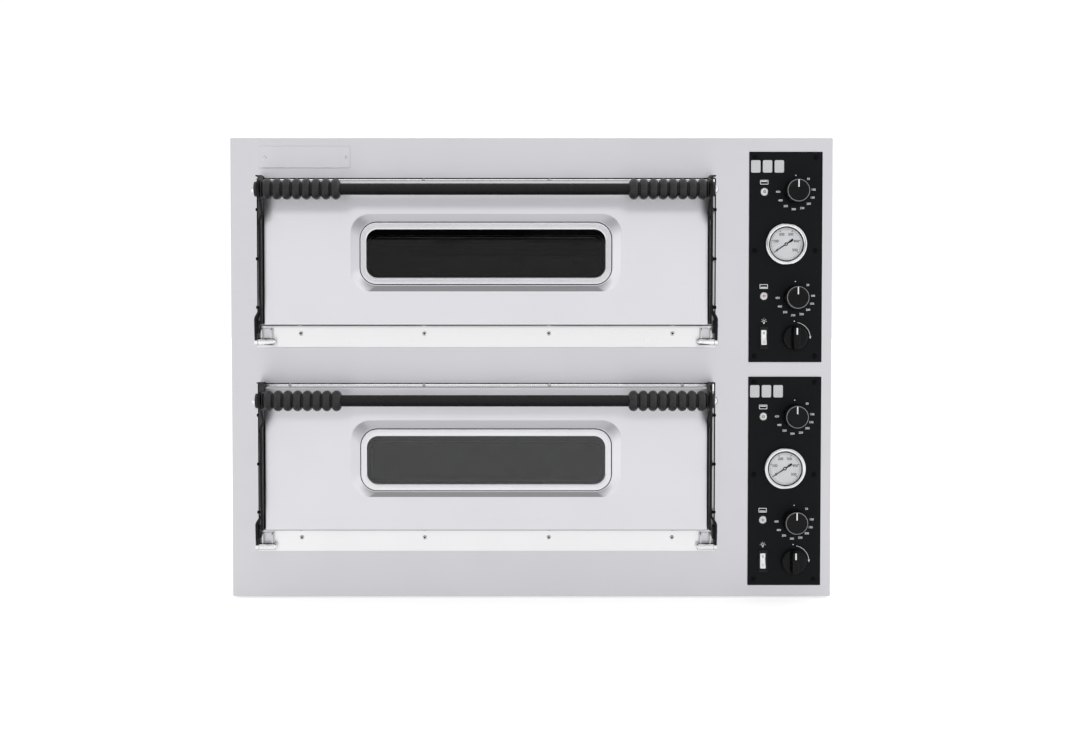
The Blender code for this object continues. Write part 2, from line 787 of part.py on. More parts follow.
def gauge_needle(prefix, panel):
    """Pointer with a round hub and a broad tail. Its mesh points up, and its rest turn is
    clockwise from there."""
    x, z = GAUGE
    right = [(0.0005, NEEDLE_TIP)]
    for angle in range(60, -61, -30):
        right.append((NEEDLE_HUB_R * cos(radians(angle)), NEEDLE_HUB_R * sin(radians(angle))))
    right.append((0.0014, -NEEDLE_TAIL))
    left = [(-a, b) for a, b in reversed(right)]
    bm = bmesh.new()
    face = bm.faces.new([bm.verts.new((a, -NEEDLE_FRONT, b)) for a, b in right + left])
    made = bmesh.ops.extrude_face_region(bm, geom=[face])
    moved = [part for part in made["geom"] if isinstance(part, bmesh.types.BMVert)]
    bmesh.ops.translate(bm, vec=(0, NEEDLE_THICK, 0), verts=moved)
    needle = place(
        prefix + "_gauge_needle", to_mesh(prefix + "_pointer", bm), "needle_black", panel, (x, 0, z)
    )
    needle.rotation_euler = (0, NEEDLE_REST, 0)


def rocker(prefix, panel):
    """Rocker with a front bent in a shallow V, tipped to its rest side about its pivot."""
    x, z = ROCKER
    half, pivot = 0.0045, 0.001
    outline = ((0.0035, 0.0125), (0.0012, 0.0), (0.0035, -0.0125), (-0.0040, -0.0110), (-0.0040, 0.0110))
    bm = bmesh.new()
    face = bm.faces.new([bm.verts.new((-half, -forward, up)) for forward, up in outline])
    made = bmesh.ops.extrude_face_region(bm, geom=[face])
    moved = [part for part in made["geom"] if isinstance(part, bmesh.types.BMVert)]
    bmesh.ops.translate(bm, vec=(2 * half, 0, 0), verts=moved)
    key = place(
        prefix + "_rocker", to_mesh(prefix + "_rocker_key", bm), "rocker_white", panel,
        (x, -pivot, z),
    )
    key.rotation_euler = (-ROCKER_TILT, 0, 0)


def lamp(prefix, level, panel):
    x, z = LAMPS[level]
    profile = (
        (0, 0.0062), (0.0035, 0.0056), (0.0058, 0.0040), (0.0065, 0.0026),
        (0.0046, 0.0026), (0.0046, -0.0150), (0, -0.0150),
    )
    turned(f"{prefix}_{level}_lamp", profile, 16, "lamp_lens", panel, (x, 0, z))


def build_casing():
    front_panel()
    side_panel("left_side_panel", -1)
    vent_slots(side_panel("right_side_panel", 1))
    top_cover()
    rear_panel()
    base_pan()
    feet()
    insulation()
    cable_gland()


def build_deck(prefix):
    deck = empty(prefix + "_deck", (DECK_X, FRONT_Y - HINGE_OUT, HINGE_Z[prefix]))
    chamber(prefix, deck)
    stone(prefix, deck)
    heating_rods(prefix, "bottom", deck)
    heating_rods(prefix, "top", deck)
    sill_plate(prefix, deck)
    hinge_bracket(prefix + "_left_hinge", -1, deck)
    hinge_bracket(prefix + "_right_hinge", 1, deck)
    door = empty(prefix + "_door_axis", (0, 0, 0), deck)
    door_outer(prefix, door)
    door_glass(prefix, door)
    door_inner(prefix, door)
    lever(prefix + "_left_lever", -1, door)
    lever(prefix + "_right_lever", 1, door)
    handle_bar(prefix, door)
    grip(prefix + "_left_grip", -1, door)
    grip(prefix + "_right_grip", 1, door)


def build_controls(prefix):
    panel = empty(prefix + "_controls", (CONTROL_X, FRONT_Y, CONTROL_Z[prefix]))
    control_panel(prefix, panel)
    for level in ("top", "bottom"):
        thermostat_knob(prefix, level, panel)
        lamp(prefix, level, panel)
    selector_knob(prefix, panel)
    gauge(prefix, panel)
    gauge_needle(prefix, panel)
    rocker(prefix, panel)


def smooth_round_pieces():
    for obj in PARTS.objects:
        if obj.type == "MESH" and any(m.type == "SCREW" for m in obj.modifiers):
            obj.data.shade_smooth()


clear_scene()
PARTS = collection("countertop_pizza_oven")
CUTTERS = collection("cutters", shown=False)
build_casing()
for deck_name in HINGE_Z:
    build_deck(deck_name)
    build_controls(deck_name)
smooth_round_pieces()
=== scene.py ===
from math import atan2, cos, hypot, pi, radians, sin

import bmesh
import bpy
from mathutils import Matrix, Vector


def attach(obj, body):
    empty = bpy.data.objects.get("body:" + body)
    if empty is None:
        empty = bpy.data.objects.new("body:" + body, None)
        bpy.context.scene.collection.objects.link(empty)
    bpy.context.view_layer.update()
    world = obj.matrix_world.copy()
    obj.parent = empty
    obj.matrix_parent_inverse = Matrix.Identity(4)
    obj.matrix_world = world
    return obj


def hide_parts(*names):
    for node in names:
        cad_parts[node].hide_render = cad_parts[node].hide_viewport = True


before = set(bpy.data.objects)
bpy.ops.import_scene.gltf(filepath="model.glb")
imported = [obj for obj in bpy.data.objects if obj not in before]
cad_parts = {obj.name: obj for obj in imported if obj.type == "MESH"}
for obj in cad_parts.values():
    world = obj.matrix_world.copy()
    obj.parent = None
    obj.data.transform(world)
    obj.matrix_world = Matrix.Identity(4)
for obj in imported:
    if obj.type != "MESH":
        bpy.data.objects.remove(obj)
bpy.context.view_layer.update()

# The CAD's driving sizes, in metres. "Out" is a distance in front of the front panel's face.
PANEL_W, PANEL_BOTTOM, PANEL_TOP = 0.975, 0.003, 0.748
FRONT_Y, BACK_Y, VENT_END_Y = -0.3705, 0.4435, 0.462
SHEET, GAP, FOLD = 0.0015, 0.0003, 0.020
SIDE_X, SIDE_BOTTOM, SIDE_TOP = 0.4857, 0.012, 0.7445
DECKS = ("upper", "lower")
DECK_X, HINGE_OUT = -0.0733, 0.0125
HINGE_Z = {"lower": 0.087, "upper": 0.419}
OPENING_HALF, OPENING_Z = 0.372, (0.011, 0.265)
SILL_Z = (-0.0092, 0.0258)
CHAMBER_HALF, CHAMBER_FLOOR, CHAMBER_TOP = 0.330, 0.006, 0.182
MOUTH_HALF, MOUTH_Z = 0.328, (0.039, 0.180)
FLANGE_HALF, FLANGE_Z, FLANGE_OUT = 0.385, (-0.003, 0.277), -0.0023
LIP_OUT, CHAMBER_BACK_OUT = -0.010, -0.672
STONE_Z = (0.027, 0.041)
VENT_R, VENT_Z = 0.020, 0.140
ROD_R, ROD_RUNS, ROD_PITCH, ROD_HALF = 0.0035, 6, 0.095, 0.255
ROD_Z = {"bottom": 0.0165, "top": 0.169}
ROD_END_X, ROD_FIRST_OUT = 0.352, -0.095
DOOR_HALF, DOOR_Z, DOOR_OUT, RING_OUT = 0.3585, (0.0265, 0.2587), 0.018, 0.0265
SURROUND = (0.2178, 0.0808, 0.2050, 0.030)
RING = (0.2014, 0.0925, 0.1914, 0.0265)
WINDOW = (0.1916, 0.1030, 0.1800, 0.018)
PRESSED_STEPS = (0.0, 0.05, 0.12, 0.25, 0.40, 0.55, 0.70, 0.82, 0.92, 1.0)
PLUG_OUT = -0.0093
BAR_OUT, BAR_Z, BAR_R, BAR_HALF = 0.075, 0.2398, 0.0091, 0.3511
GRIP_IN, GRIP_END, GRIP_R, GRIP_VALLEY_R, GRIP_RIBS = 0.2258, 0.3498, 0.0165, 0.0132, 8
LEVER_THICK, LEVER_HUB_R, LEVER_X, LEVER_TOP = 0.004, 0.0155, 0.3588, 0.2668
LEVER_FOOT_STEP, LEVER_FOOT_BEND = 0.0102, (0.035, 0.057)
LEVER_ARM_STEP, LEVER_ARM_BEND = 0.0072, (0.037, 0.052)
KNUCKLE_R, KNUCKLE_SPAN, EYE_SPAN = 0.006, (0.3405, 0.3680), (0.3683, 0.3740)
CONTROL_X = 0.4115
CONTROL_Z = {"lower": 0.1919, "upper": 0.55585}
CONTROL_HALF, CONTROL_OUT = (0.0592, 0.1701), (0.0003, 0.0023)
THERMOSTATS = {"top": (0.0160, 0.1059), "bottom": (0.0160, -0.0656)}
LAMPS = {"top": (-0.0350, 0.1055), "bottom": (-0.0350, -0.0630)}
SELECTOR, GAUGE, ROCKER = (0.0155, -0.1305), (0.0001, 0.0209), (-0.0347, -0.1305)
KNOB_R, GAUGE_R = 0.020, 0.034
NEEDLE_REST, ROCKER_TILT = radians(236), radians(7)
NEEDLE_SWEEP = radians(248)
SLOT_SIZE, SLOT_Y, SLOT_PITCH, SLOT_COUNT = (0.070, 0.004), -0.265, 0.014, 7
FOOT_SPOTS = {
    "front_left": (-0.420, -0.310), "front_right": (0.420, -0.310),
    "rear_left": (-0.420, 0.390), "rear_right": (0.420, 0.390),
}
GLAND_X, GLAND_Z = 0.400, 0.075
SCREW_XS = (-0.374, -0.174, 0.028, 0.2285)  # screws along the sill, from the oven's middle
LINTEL_XS = (-0.393, -0.175, 0.029, 0.245)

FRONT = Matrix.Rotation(pi / 2, 4, "X")  # a shape's own z axis points out of the front
BACK = Matrix.Rotation(-pi / 2, 4, "X")
RIGHT = Matrix.Rotation(pi / 2, 4, "Y")
LEFT = Matrix.Rotation(-pi / 2, 4, "Y")
UP = Matrix.Identity(4)
DOWN = Matrix.Rotation(pi, 4, "X")
OUTWARD = {-1: LEFT, 1: RIGHT}  # a shape's own z axis points away from the oven's middle
SIDE_WORD = {-1: "left", 1: "right"}


def spot(x, forward, z):
    """A place given from the oven's middle and the front panel's face."""
    return Vector((x, FRONT_Y - forward, z))


def on_deck(deck, x, forward, z):
    return spot(DECK_X + x, forward, HINGE_Z[deck] + z)


def on_panel(deck, place, forward=0.0, dx=0.0, dz=0.0):
    return spot(CONTROL_X + place[0] + dx, forward, CONTROL_Z[deck] + place[1] + dz)


# ---------------------------------------------------------------- mesh helpers


def piece(name, bm, look, body="root", stands_for=(), sharp=30,
          bevel=0.0, sheet=0.0, toward=None):
    """Links a bmesh as a finished piece. toward turns an open sheet's faces that way."""
    bmesh.ops.recalc_face_normals(bm, faces=bm.faces)
    if toward is not None:
        lean = sum((face.normal * face.calc_area() for face in bm.faces), Vector())
        if lean.dot(Vector(toward)) < 0:
            bmesh.ops.reverse_faces(bm, faces=bm.faces)
    mesh = bpy.data.meshes.new(name)
    bm.to_mesh(mesh)
    bm.free()
    mesh.shade_smooth()
    mesh.set_sharp_from_angle(angle=radians(sharp))
    mesh.materials.append(look)
    obj = bpy.data.objects.new(name, mesh)
    bpy.context.scene.collection.objects.link(obj)
    if sheet:
        thick = obj.modifiers.new("sheet", "SOLIDIFY")
        thick.thickness = sheet
        thick.offset = -1
        thick.use_even_offset = True
    if bevel:
        edge = obj.modifiers.new("edges", "BEVEL")
        edge.width = bevel
        edge.segments = 2
        edge.limit_method = "ANGLE"
        edge.angle_limit = radians(40)
        edge.use_clamp_overlap = True
    weigh = obj.modifiers.new("normals", "WEIGHTED_NORMAL")
    weigh.keep_sharp = True
    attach(obj, body)
    if stands_for:
        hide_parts(*stands_for)
    return obj


def softened(points, radius, steps=3, closed=True):
    """The outline with each corner turned into a short curve."""
    made = []
    count = len(points)
    for index, point in enumerate(points):
        corner = Vector(point)
        if not closed and index in (0, count - 1):
            made.append(tuple(corner))
            continue
        before = Vector(points[index - 1]) - corner
        after = Vector(points[(index + 1) % count]) - corner
        start = corner + before.normalized() * min(radius, before.length * 0.45)
        end = corner + after.normalized() * min(radius, after.length * 0.45)
        for step in range(steps + 1):
            t = step / steps
            made.append(tuple(start.lerp(corner, t).lerp(corner.lerp(end, t), t)))
    return made


def turned(bm, profile, steps, matrix, facets=(), closed=False):
    """A turned shape: the profile is (radius, height). Points listed in facets are six-sided."""
    rings = []
    sector = 2 * pi / 6
    for index, (radius, height) in enumerate(profile):
        if radius < 1e-7:
            rings.append([bm.verts.new(matrix @ Vector((0, 0, height)))])
            continue
        ring = []
        for step in range(steps):
            angle = 2 * pi * step / steps
            reach = radius
            if index in facets:
                reach *= cos(sector / 2) / cos(angle % sector - sector / 2)
            ring.append(bm.verts.new(
                matrix @ Vector((reach * cos(angle), reach * sin(angle), height))
            ))
        rings.append(ring)
    pairs = list(zip(rings, rings[1:]))
    if closed:
        pairs.append((rings[-1], rings[0]))
    for near, far in pairs:
        for step in range(steps):
            ahead = (step + 1) % steps
            corners = [near[step % len(near)], near[ahead % len(near)],
                       far[ahead % len(far)], far[step % len(far)]]
            kept = [v for i, v in enumerate(corners) if v not in corners[:i]]
            if len(kept) > 2:
                bm.faces.new(kept)


def loft(bm, loops, cap_first=False, cap_last=False, wrap=True):
    rings = [[bm.verts.new(point) for point in loop] for loop in loops]
    for near, far in zip(rings, rings[1:]):
        count = len(near)
        for i in range(count if wrap else count - 1):
            j = (i + 1) % count
            bm.faces.new((near[i], near[j], far[j], far[i]))
    if cap_first:
        bm.faces.new(rings[0])
    if cap_last:
        bm.faces.new(rings[-1])
    return rings


def rounded(shape, steps=8, grow=0.0):
    """Points round a rectangle with round corners: half width, bottom, top, radius."""
    half, bottom, top, radius = shape
    half, bottom, top = half + grow, bottom - grow, top + grow
    radius = max(radius + grow, 0.0002)
    corners = (
        (half - radius, bottom + radius, -90), (half - radius, top - radius, 0),
        (radius - half, top - radius, 90), (radius - half, bottom + radius, 180),
    )
    points = []
    for x, z, start in corners:
        for step in range(steps + 1):
            angle = radians(start + 90 * step / steps)
            points.append((x + radius * cos(angle), z + radius * sin(angle)))
    return points


def mixed(a, b, t):
    return tuple(p + (q - p) * t for p, q in zip(a, b))


def deck_loop(deck, shape, forward, steps=8, grow=0.0):
    return [on_deck(deck, x, forward, z) for x, z in rounded(shape, steps, grow)]


def shifted(points, dx, dz):
    return [(dx + x, dz + z) for x, z in points]


def on_face(deck, shape, steps=8, grow=0.0, dx=0.0):
    """A rounded outline as flat points, at the deck's place on the front."""
    return shifted(rounded(shape, steps, grow), DECK_X + dx, HINGE_Z[deck])


def fill(bm, loops):
    """Faces between the outer loop and the holes in it."""
    edges = []
    for loop in loops:
        for i, vert in enumerate(loop):
            ahead = loop[(i + 1) % len(loop)]
            edges.append(bm.edges.get((vert, ahead)) or bm.edges.new((vert, ahead)))
    bmesh.ops.triangle_fill(bm, edges=edges, use_beauty=True)


def block(bm, low, high, matrix=UP):
    low, high = Vector(low), Vector(high)
    made = bmesh.ops.create_cube(bm, size=1)
    bmesh.ops.scale(bm, vec=high - low, verts=made["verts"])
    bmesh.ops.translate(bm, vec=(low + high) / 2, verts=made["verts"])
    bmesh.ops.transform(bm, matrix=matrix, verts=made["verts"])


def plate(bm, outlines, thickness, matrix, edge=0.0003):
    """A flat plate with soft edges from closed outlines, the first its rim and the rest
    holes. Its own z runs from 0 to thickness."""
    curve = bpy.data.curves.new("outline", "CURVE")
    curve.dimensions = "2D"
    curve.fill_mode = "BOTH"
    curve.extrude = thickness / 2 - edge
    curve.bevel_depth = edge
    curve.bevel_resolution = 1
    curve.offset = -edge
    for outline in outlines:
        spline = curve.splines.new("POLY")
        spline.points.add(len(outline) - 1)
        for point, (x, y) in zip(spline.points, outline):
            point.co = (x, y, 0, 1)
        spline.use_cyclic_u = True
    append(bm, curve, matrix @ Matrix.Translation((0, 0, thickness / 2)))


def append(bm, data, matrix):
    """Adds a curve's or a text's mesh, and removes the curve or text."""
    holder = bpy.data.objects.new("holder", data)
    mesh = bpy.data.meshes.new_from_object(holder)
    mesh.transform(matrix)
    mesh.materials.clear()
    bm.from_mesh(mesh)
    bpy.data.objects.remove(holder)
    bpy.data.meshes.remove(mesh)
    bpy.data.curves.remove(data)
    bmesh.ops.remove_doubles(bm, verts=bm.verts, dist=1e-6)


def lettering(bm, text, size, matrix, thickness=0.0001, offset=0.0):
    font = bpy.data.curves.new("lettering", "FONT")
    font.body = text
    font.size = size
    font.align_x = "CENTER"
    font.align_y = "CENTER"
    font.extrude = thickness / 2
    font.resolution_u = 3
    font.offset = offset
    append(bm, font, matrix)


def tube(bm, points, radius, sides=12, cap=True):
    """A round rod along points, with each ring square to its path."""
    loops = []
    side = None
    for i, point in enumerate(points):
        along = (points[min(i + 1, len(points) - 1)] - points[max(i - 1, 0)]).normalized()
        if side is None:
            side = along.orthogonal().normalized()
        side = (side - along * side.dot(along)).normalized()
        other = along.cross(side)
        loops.append([
            point + (side * cos(2 * pi * k / sides) + other * sin(2 * pi * k / sides)) * radius
            for k in range(sides)
        ])
    loft(bm, loops, cap, cap)


def oval(centre, width, height, steps=24):
    return [
        (centre[0] + width / 2 * cos(2 * pi * k / steps),
         centre[1] + height / 2 * sin(2 * pi * k / steps)) for k in range(steps)
    ]


def capsule(centre, long, tall, steps=8):
    half = long / 2
    return [
        (centre[0] + x, centre[1] + z)
        for x, z in rounded((half, -tall / 2, tall / 2, tall / 2 - 1e-5), steps)
    ]


# ---------------------------------------------------------------- screws and bolts


def pan_screw(bm, matrix, radius=0.0036, height=0.0019):
    """A round head with a six-sided socket."""
    socket = radius * 0.36
    profile = [
        (0, height * 0.3), (socket, height * 0.3), (socket, height * 0.97),
        (radius * 0.55, height), (radius * 0.8, height * 0.82), (radius * 0.95, height * 0.45),
        (radius, height * 0.12), (radius, -0.0004), (0, -0.0004),
    ]
    turned(bm, profile, 24, matrix, facets=(1, 2))


def socket(bm, matrix, radius=0.00175, height=0.0005):
    """A dark six-sided disc in the bottom of a screw's socket: painted shade in the recess."""
    profile = [(0, height), (radius, height), (radius, 0.0), (0, 0.0)]
    turned(bm, profile, 24, matrix, facets=(1, 2))


def hex_bolt(bm, matrix, radius=0.0050, height=0.0035, shank=0.0):
    """A hexagon head on a washer face, with a stud end above it if shank is given."""
    end = height + shank
    profile = [(0, end)]
    if shank:
        profile += [(0.0020, end), (0.0025, end - 0.0006), (0.0025, height)]
    profile += [
        (radius * 0.80, height), (radius * 0.98, height - 0.0006), (radius, height - 0.0012),
        (radius, 0.0008), (radius * 1.2, 0.0007), (radius * 1.2, 0.0),
        (0, 0.0),
    ]
    first = 5 if shank else 2
    turned(bm, profile, 24, matrix, facets=(first, first + 1, first + 2))


def dome(bm, matrix, radius, height, steps=24):
    profile = [(0, height)]
    profile += [
        (radius * sin(radians(a)), height * cos(radians(a)) ** 0.8) for a in (18, 36, 54, 72, 84)
    ]
    profile += [(radius, 0.0), (0, 0.0)]
    turned(bm, profile, steps, matrix)


def ring_piece(name, outline, soft, steps, matrix, look):
    """A turned ring with softened edges, as one fixed piece."""
    bm = bmesh.new()
    turned(bm, softened(outline, *soft), steps, matrix, closed=True)
    piece(name, bm, look)


def placed(place, turn):
    return Matrix.Translation(place) @ turn


def screws(name, make, sizes, matrices, look=None, body="root", sharp=35):
    """One piece of several like fixings. sizes are the radius, the height and so on."""
    bm = bmesh.new()
    for matrix in matrices:
        make(bm, matrix, *sizes)
    piece(name, bm, look or ZINC, body, sharp=sharp)


# ---------------------------------------------------------------- materials


class Look:
    """A material whose nodes are added by short calls."""

    def __init__(self, name, colour, roughness, metallic=0.0, **inputs):
        self.material = bpy.data.materials.new(name)
        self.material.use_nodes = True
        self.tree = self.material.node_tree
        self.shader = self.tree.nodes["Principled BSDF"]
        self.shader.inputs["Base Color"].default_value = (*colour, 1)
        self.shader.inputs["Roughness"].default_value = roughness
        self.shader.inputs["Metallic"].default_value = metallic
        for key, value in inputs.items():
            self.shader.inputs[key.replace("_", " ")].default_value = value
        self.coords = self.tree.nodes.new("ShaderNodeTexCoord").outputs["Object"]
        self.height = None

    def node(self, kind, **settings):
        made = self.tree.nodes.new(kind)
        for key, value in settings.items():
            setattr(made, key, value)
        return made

    def link(self, source, socket):
        self.tree.links.new(source, socket)

    def stretched(self, scale):
        mapping = self.node("ShaderNodeMapping")
        mapping.inputs["Scale"].default_value = scale
        self.link(self.coords, mapping.inputs["Vector"])
        return mapping.outputs["Vector"]

    def noise(self, scale, detail=2.0, rough=0.5):
        made = self.node("ShaderNodeTexNoise")
        vector = self.coords
        if isinstance(scale, tuple):
            vector = self.stretched(scale)
            scale = 1.0
        self.link(vector, made.inputs["Vector"])
        made.inputs["Scale"].default_value = scale
        made.inputs["Detail"].default_value = detail
        made.inputs["Roughness"].default_value = rough
        return made.outputs["Fac"]

    def cells(self, scale):
        made = self.node("ShaderNodeTexVoronoi")
        self.link(self.coords, made.inputs["Vector"])
        made.inputs["Scale"].default_value = scale
        return made.outputs["Distance"]

    def ramp(self, factor, low, high, start=0.0, end=1.0):
        made = self.node("ShaderNodeMapRange")
        self.link(factor, made.inputs["Value"])
        for key, value in zip(("From Min", "From Max", "To Min", "To Max"), (low, high, start, end)):
            made.inputs[key].default_value = value
        return made.outputs["Result"]

    def maths(self, operation, a, b):
        made = self.node("ShaderNodeMath", operation=operation)
        for socket, value in zip(made.inputs, (a, b)):
            if isinstance(value, (int, float)):
                socket.default_value = value
            else:
                self.link(value, socket)
        return made.outputs["Value"]

    def mix(self, factor, a, b):
        made = self.node("ShaderNodeMix", data_type="RGBA")
        self.link(factor, made.inputs["Factor"])
        for socket, value in ((made.inputs[6], a), (made.inputs[7], b)):
            if isinstance(value, tuple):
                socket.default_value = (*value, 1)
            else:
                self.link(value, socket)
        return made.outputs[2]

    def blend(self, factor, low, high, a, b, most=1.0):
        return self.mix(self.ramp(factor, low, high, 0.0, most), a, b)

    def facing_up(self):
        """The rest pose's normal along z: 1 on top faces, -1 on undersides."""
        made = self.node("ShaderNodeSeparateXYZ")
        self.link(self.node("ShaderNodeTexCoord").outputs["Normal"], made.inputs["Vector"])
        return made.outputs["Z"]

    def colour(self, socket):
        self.link(socket, self.shader.inputs["Base Color"])

    def roughness(self, socket):
        self.link(socket, self.shader.inputs["Roughness"])

    def bump(self, height, strength, distance):
        made = self.node("ShaderNodeBump")
        made.inputs["Strength"].default_value = strength
        made.inputs["Distance"].default_value = distance
        self.link(height, made.inputs["Height"])
        if self.height:
            self.link(self.height, made.inputs["Normal"])
        self.height = made.outputs["Normal"]
        self.link(self.height, self.shader.inputs["Normal"])


def scaled(colour, by):
    return tuple(min(c * by, 1.0) for c in colour)


def brushed(name, colour, along, roughness=0.30, streaks=0.008, wave=0.15, shade=None):
    """Stainless sheet: fine grain along one axis, soft smudges and a slight wave. shade is the
    colour of faces that look down at rest, blended in as painted shade under ledges."""
    look = Look(name, colour, roughness, 1.0, Anisotropic=0.8)
    across = look.node("ShaderNodeTangent", direction_type="RADIAL", axis=along.upper())
    look.link(across.outputs["Tangent"], look.shader.inputs["Tangent"])

    def grain(fine, coarse):
        return tuple(coarse if axis == along else fine for axis in "xyz")

    fine = look.noise(grain(1500, 6), 2)
    middle = look.noise(grain(560, 2.4), 3, 0.6)
    broad = look.noise(3.2, 3, 0.55)
    smudge = look.noise(11.0, 4, 0.6)
    tone = look.blend(middle, 0.3, 0.7, scaled(colour, 1 - streaks), scaled(colour, 1 + streaks))
    cloudy_and_painted_shade = look.mix(look.ramp(broad, 0.35, 0.7, 0.0, 0.5), tone, scaled(colour, 0.97))
    # painted shade: faces that look down at rest are blended towards the shade colour
    if shade:
        cloudy_and_painted_shade = look.blend(look.facing_up(), -0.25, -0.65, cloudy_and_painted_shade, shade)
    look.colour(cloudy_and_painted_shade)
    spread = look.ramp(middle, 0.25, 0.75, roughness - 0.01, roughness + 0.01)
    worn = look.maths("ADD", spread, look.ramp(smudge, 0.45, 0.75, 0.0, 0.04))
    look.roughness(worn)
    look.bump(broad, wave, 0.0012)
    look.bump(fine, 0.03, 0.00003)
    return look.material


def stainless():
    return {
        "front": brushed("front_stainless", (0.63, 0.625, 0.655), "x", 0.34, wave=0.10),
        # door: its shade colour is painted shade on the window pressing's down-facing walls
        "door": brushed("door_stainless", (0.715, 0.71, 0.745), "x", 0.34, wave=0.08,
                        shade=(0.20, 0.20, 0.205)),
        "sill": brushed("sill_stainless", (0.83, 0.83, 0.84), "x", 0.28, streaks=0.006, wave=0.12),
        "lining": brushed("lining_stainless", (0.95, 0.95, 0.95), "x", 0.24),
        "ring": brushed("ring_stainless", (0.70, 0.695, 0.725), "x", 0.20, streaks=0.006, wave=0.12),
        "side": brushed("side_stainless", (0.48, 0.48, 0.495), "y", 0.34, streaks=0.04),
        "lid": brushed("lid_stainless", (0.52, 0.52, 0.535), "x", 0.33, streaks=0.04),
        "plate": brushed("plate_stainless", (0.63, 0.625, 0.655), "x", 0.32, wave=0.10),
    }


def heat_tinted(name, colour, roughness):
    """Chamber steel: straw and brown heat colours in clouds, and dull baked-on haze."""
    look = Look(name, colour, roughness, 1.0)
    grain = look.noise((6, 300, 300), 3, 0.6)
    cloud = look.noise(5.0, 4, 0.6)
    spots = look.noise(60.0, 5, 0.7)
    straw = look.blend(cloud, 0.35, 0.65, scaled(colour, 1.05), (0.50, 0.42, 0.29))
    brown = look.blend(cloud, 0.60, 0.78, straw, (0.30, 0.22, 0.16))
    streaky = look.mix(look.ramp(grain, 0.3, 0.7, 0.0, 0.25), brown, scaled(colour, 0.75))
    look.colour(look.mix(look.ramp(spots, 0.60, 0.72, 0.0, 0.6), streaky, (0.16, 0.12, 0.09)))
    look.roughness(look.ramp(cloud, 0.3, 0.75, roughness - 0.06, roughness + 0.22))
    look.bump(grain, 0.12, 0.0001)
    return look.material


def bright_metal(name, colour, roughness):
    """Polished metal with fine scratches and faint haze."""
    look = Look(name, colour, roughness, 1.0)
    scratch = look.noise((420, 90, 1300), 3, 0.7)
    haze = look.noise(45.0, 3, 0.5)
    look.colour(look.blend(haze, 0.35, 0.7, colour, scaled(colour, 0.88)))
    mottled = look.ramp(haze, 0.3, 0.7, roughness * 0.7, roughness * 1.5)
    look.roughness(look.maths("ADD", mottled, look.ramp(scratch, 0.6, 0.8, 0.0, 0.12)))
    look.bump(scratch, 0.06, 0.00004)
    return look.material


def coated(name, colour, roughness, peel=900.0, depth=0.00005, level=0.5, worn=0.0, painted_top_light=None):
    """Paint or powder coat on steel: orange peel, faint dust, and rubbed lighter patches. settled
    is painted top light: a lighter colour blended onto faces that look up at rest."""
    look = Look(name, colour, roughness, 0.0, Specular_IOR_Level=level)
    skin = look.noise(peel, 2, 0.5)
    dust = look.noise(38.0, 4, 0.65)
    rub = look.noise((90, 90, 22), 4, 0.6)
    dust_and_painted_top_light = look.mix(look.ramp(dust, 0.50, 0.80, 0.0, 0.5), colour, scaled(colour, 1.9))
    pale = tuple(c + 0.02 for c in scaled(colour, 2.2))
    # painted top light: faces that look up at rest are made lighter, as if lit from above
    if painted_top_light:
        dust_and_painted_top_light = look.blend(look.facing_up(), -0.7, 0.5, dust_and_painted_top_light, painted_top_light)
    look.colour(look.mix(look.ramp(rub, 0.62, 0.75, 0.0, worn), dust_and_painted_top_light, pale))
    look.roughness(look.ramp(dust, 0.25, 0.8, roughness - 0.06, roughness + 0.12))
    look.bump(skin, 0.35, depth)
    return look.material


def moulded(name, colour, roughness, grain=2200.0, depth=0.00004, level=0.5, painted_top_light=None):
    """Moulded plastic: a fine spark-eroded skin and soft flow marks."""
    look = Look(name, colour, roughness, 0.0, Specular_IOR_Level=level)
    pits = look.cells(grain)
    flow = look.noise((24, 60, 60), 3, 0.6)
    soil = look.noise(120.0, 4, 0.6)
    tone = look.blend(flow, 0.3, 0.7, scaled(colour, 0.86), scaled(colour, 1.2))
    # painted top light: faces that look up at rest are made lighter, as if lit from above
    if painted_top_light:
        tone = look.blend(look.facing_up(), -0.7, 0.5, tone, painted_top_light)
    look.colour(look.mix(look.ramp(soil, 0.58, 0.8, 0.0, 0.35), tone, scaled(colour, 1.7)))
    look.roughness(look.ramp(flow, 0.25, 0.75, roughness - 0.06, roughness + 0.08))
    look.bump(pits, 0.3, depth)
    return look.material


def printed(name, colour):
    """Screen-printed ink: slightly thin in places."""
    look = Look(name, colour, 0.5)
    thin = look.noise(1400.0, 3, 0.6)
    look.colour(look.blend(thin, 0.45, 0.8, colour, scaled(colour, 0.72)))
    look.roughness(look.ramp(thin, 0.2, 0.8, 0.42, 0.58))
    return look.material


def door_glass():
    """Clear pane with a faint bronze tint, wiped film and dried specks."""
    look = Look("door_glass", (0.28, 0.29, 0.31), 0.02, 0.0, Transmission_Weight=1.0, IOR=1.5)
    film = look.noise((5, 5, 16), 4, 0.6)
    specks = look.noise(260.0, 2, 0.5)
    look.colour(look.blend(film, 0.35, 0.75, (0.30, 0.31, 0.34), (0.25, 0.26, 0.29)))
    haze = look.ramp(film, 0.45, 0.8, 0.015, 0.07)
    look.roughness(look.maths("ADD", haze, look.ramp(specks, 0.70, 0.76, 0.0, 0.12)))
    return look.material


def clear_cover():
    look = Look("gauge_cover", (0.99, 0.99, 0.99), 0.01, 0.0, Transmission_Weight=1.0, IOR=1.2)
    film = look.noise(60.0, 3, 0.6)
    look.roughness(look.ramp(film, 0.4, 0.8, 0.005, 0.04))
    return look.material


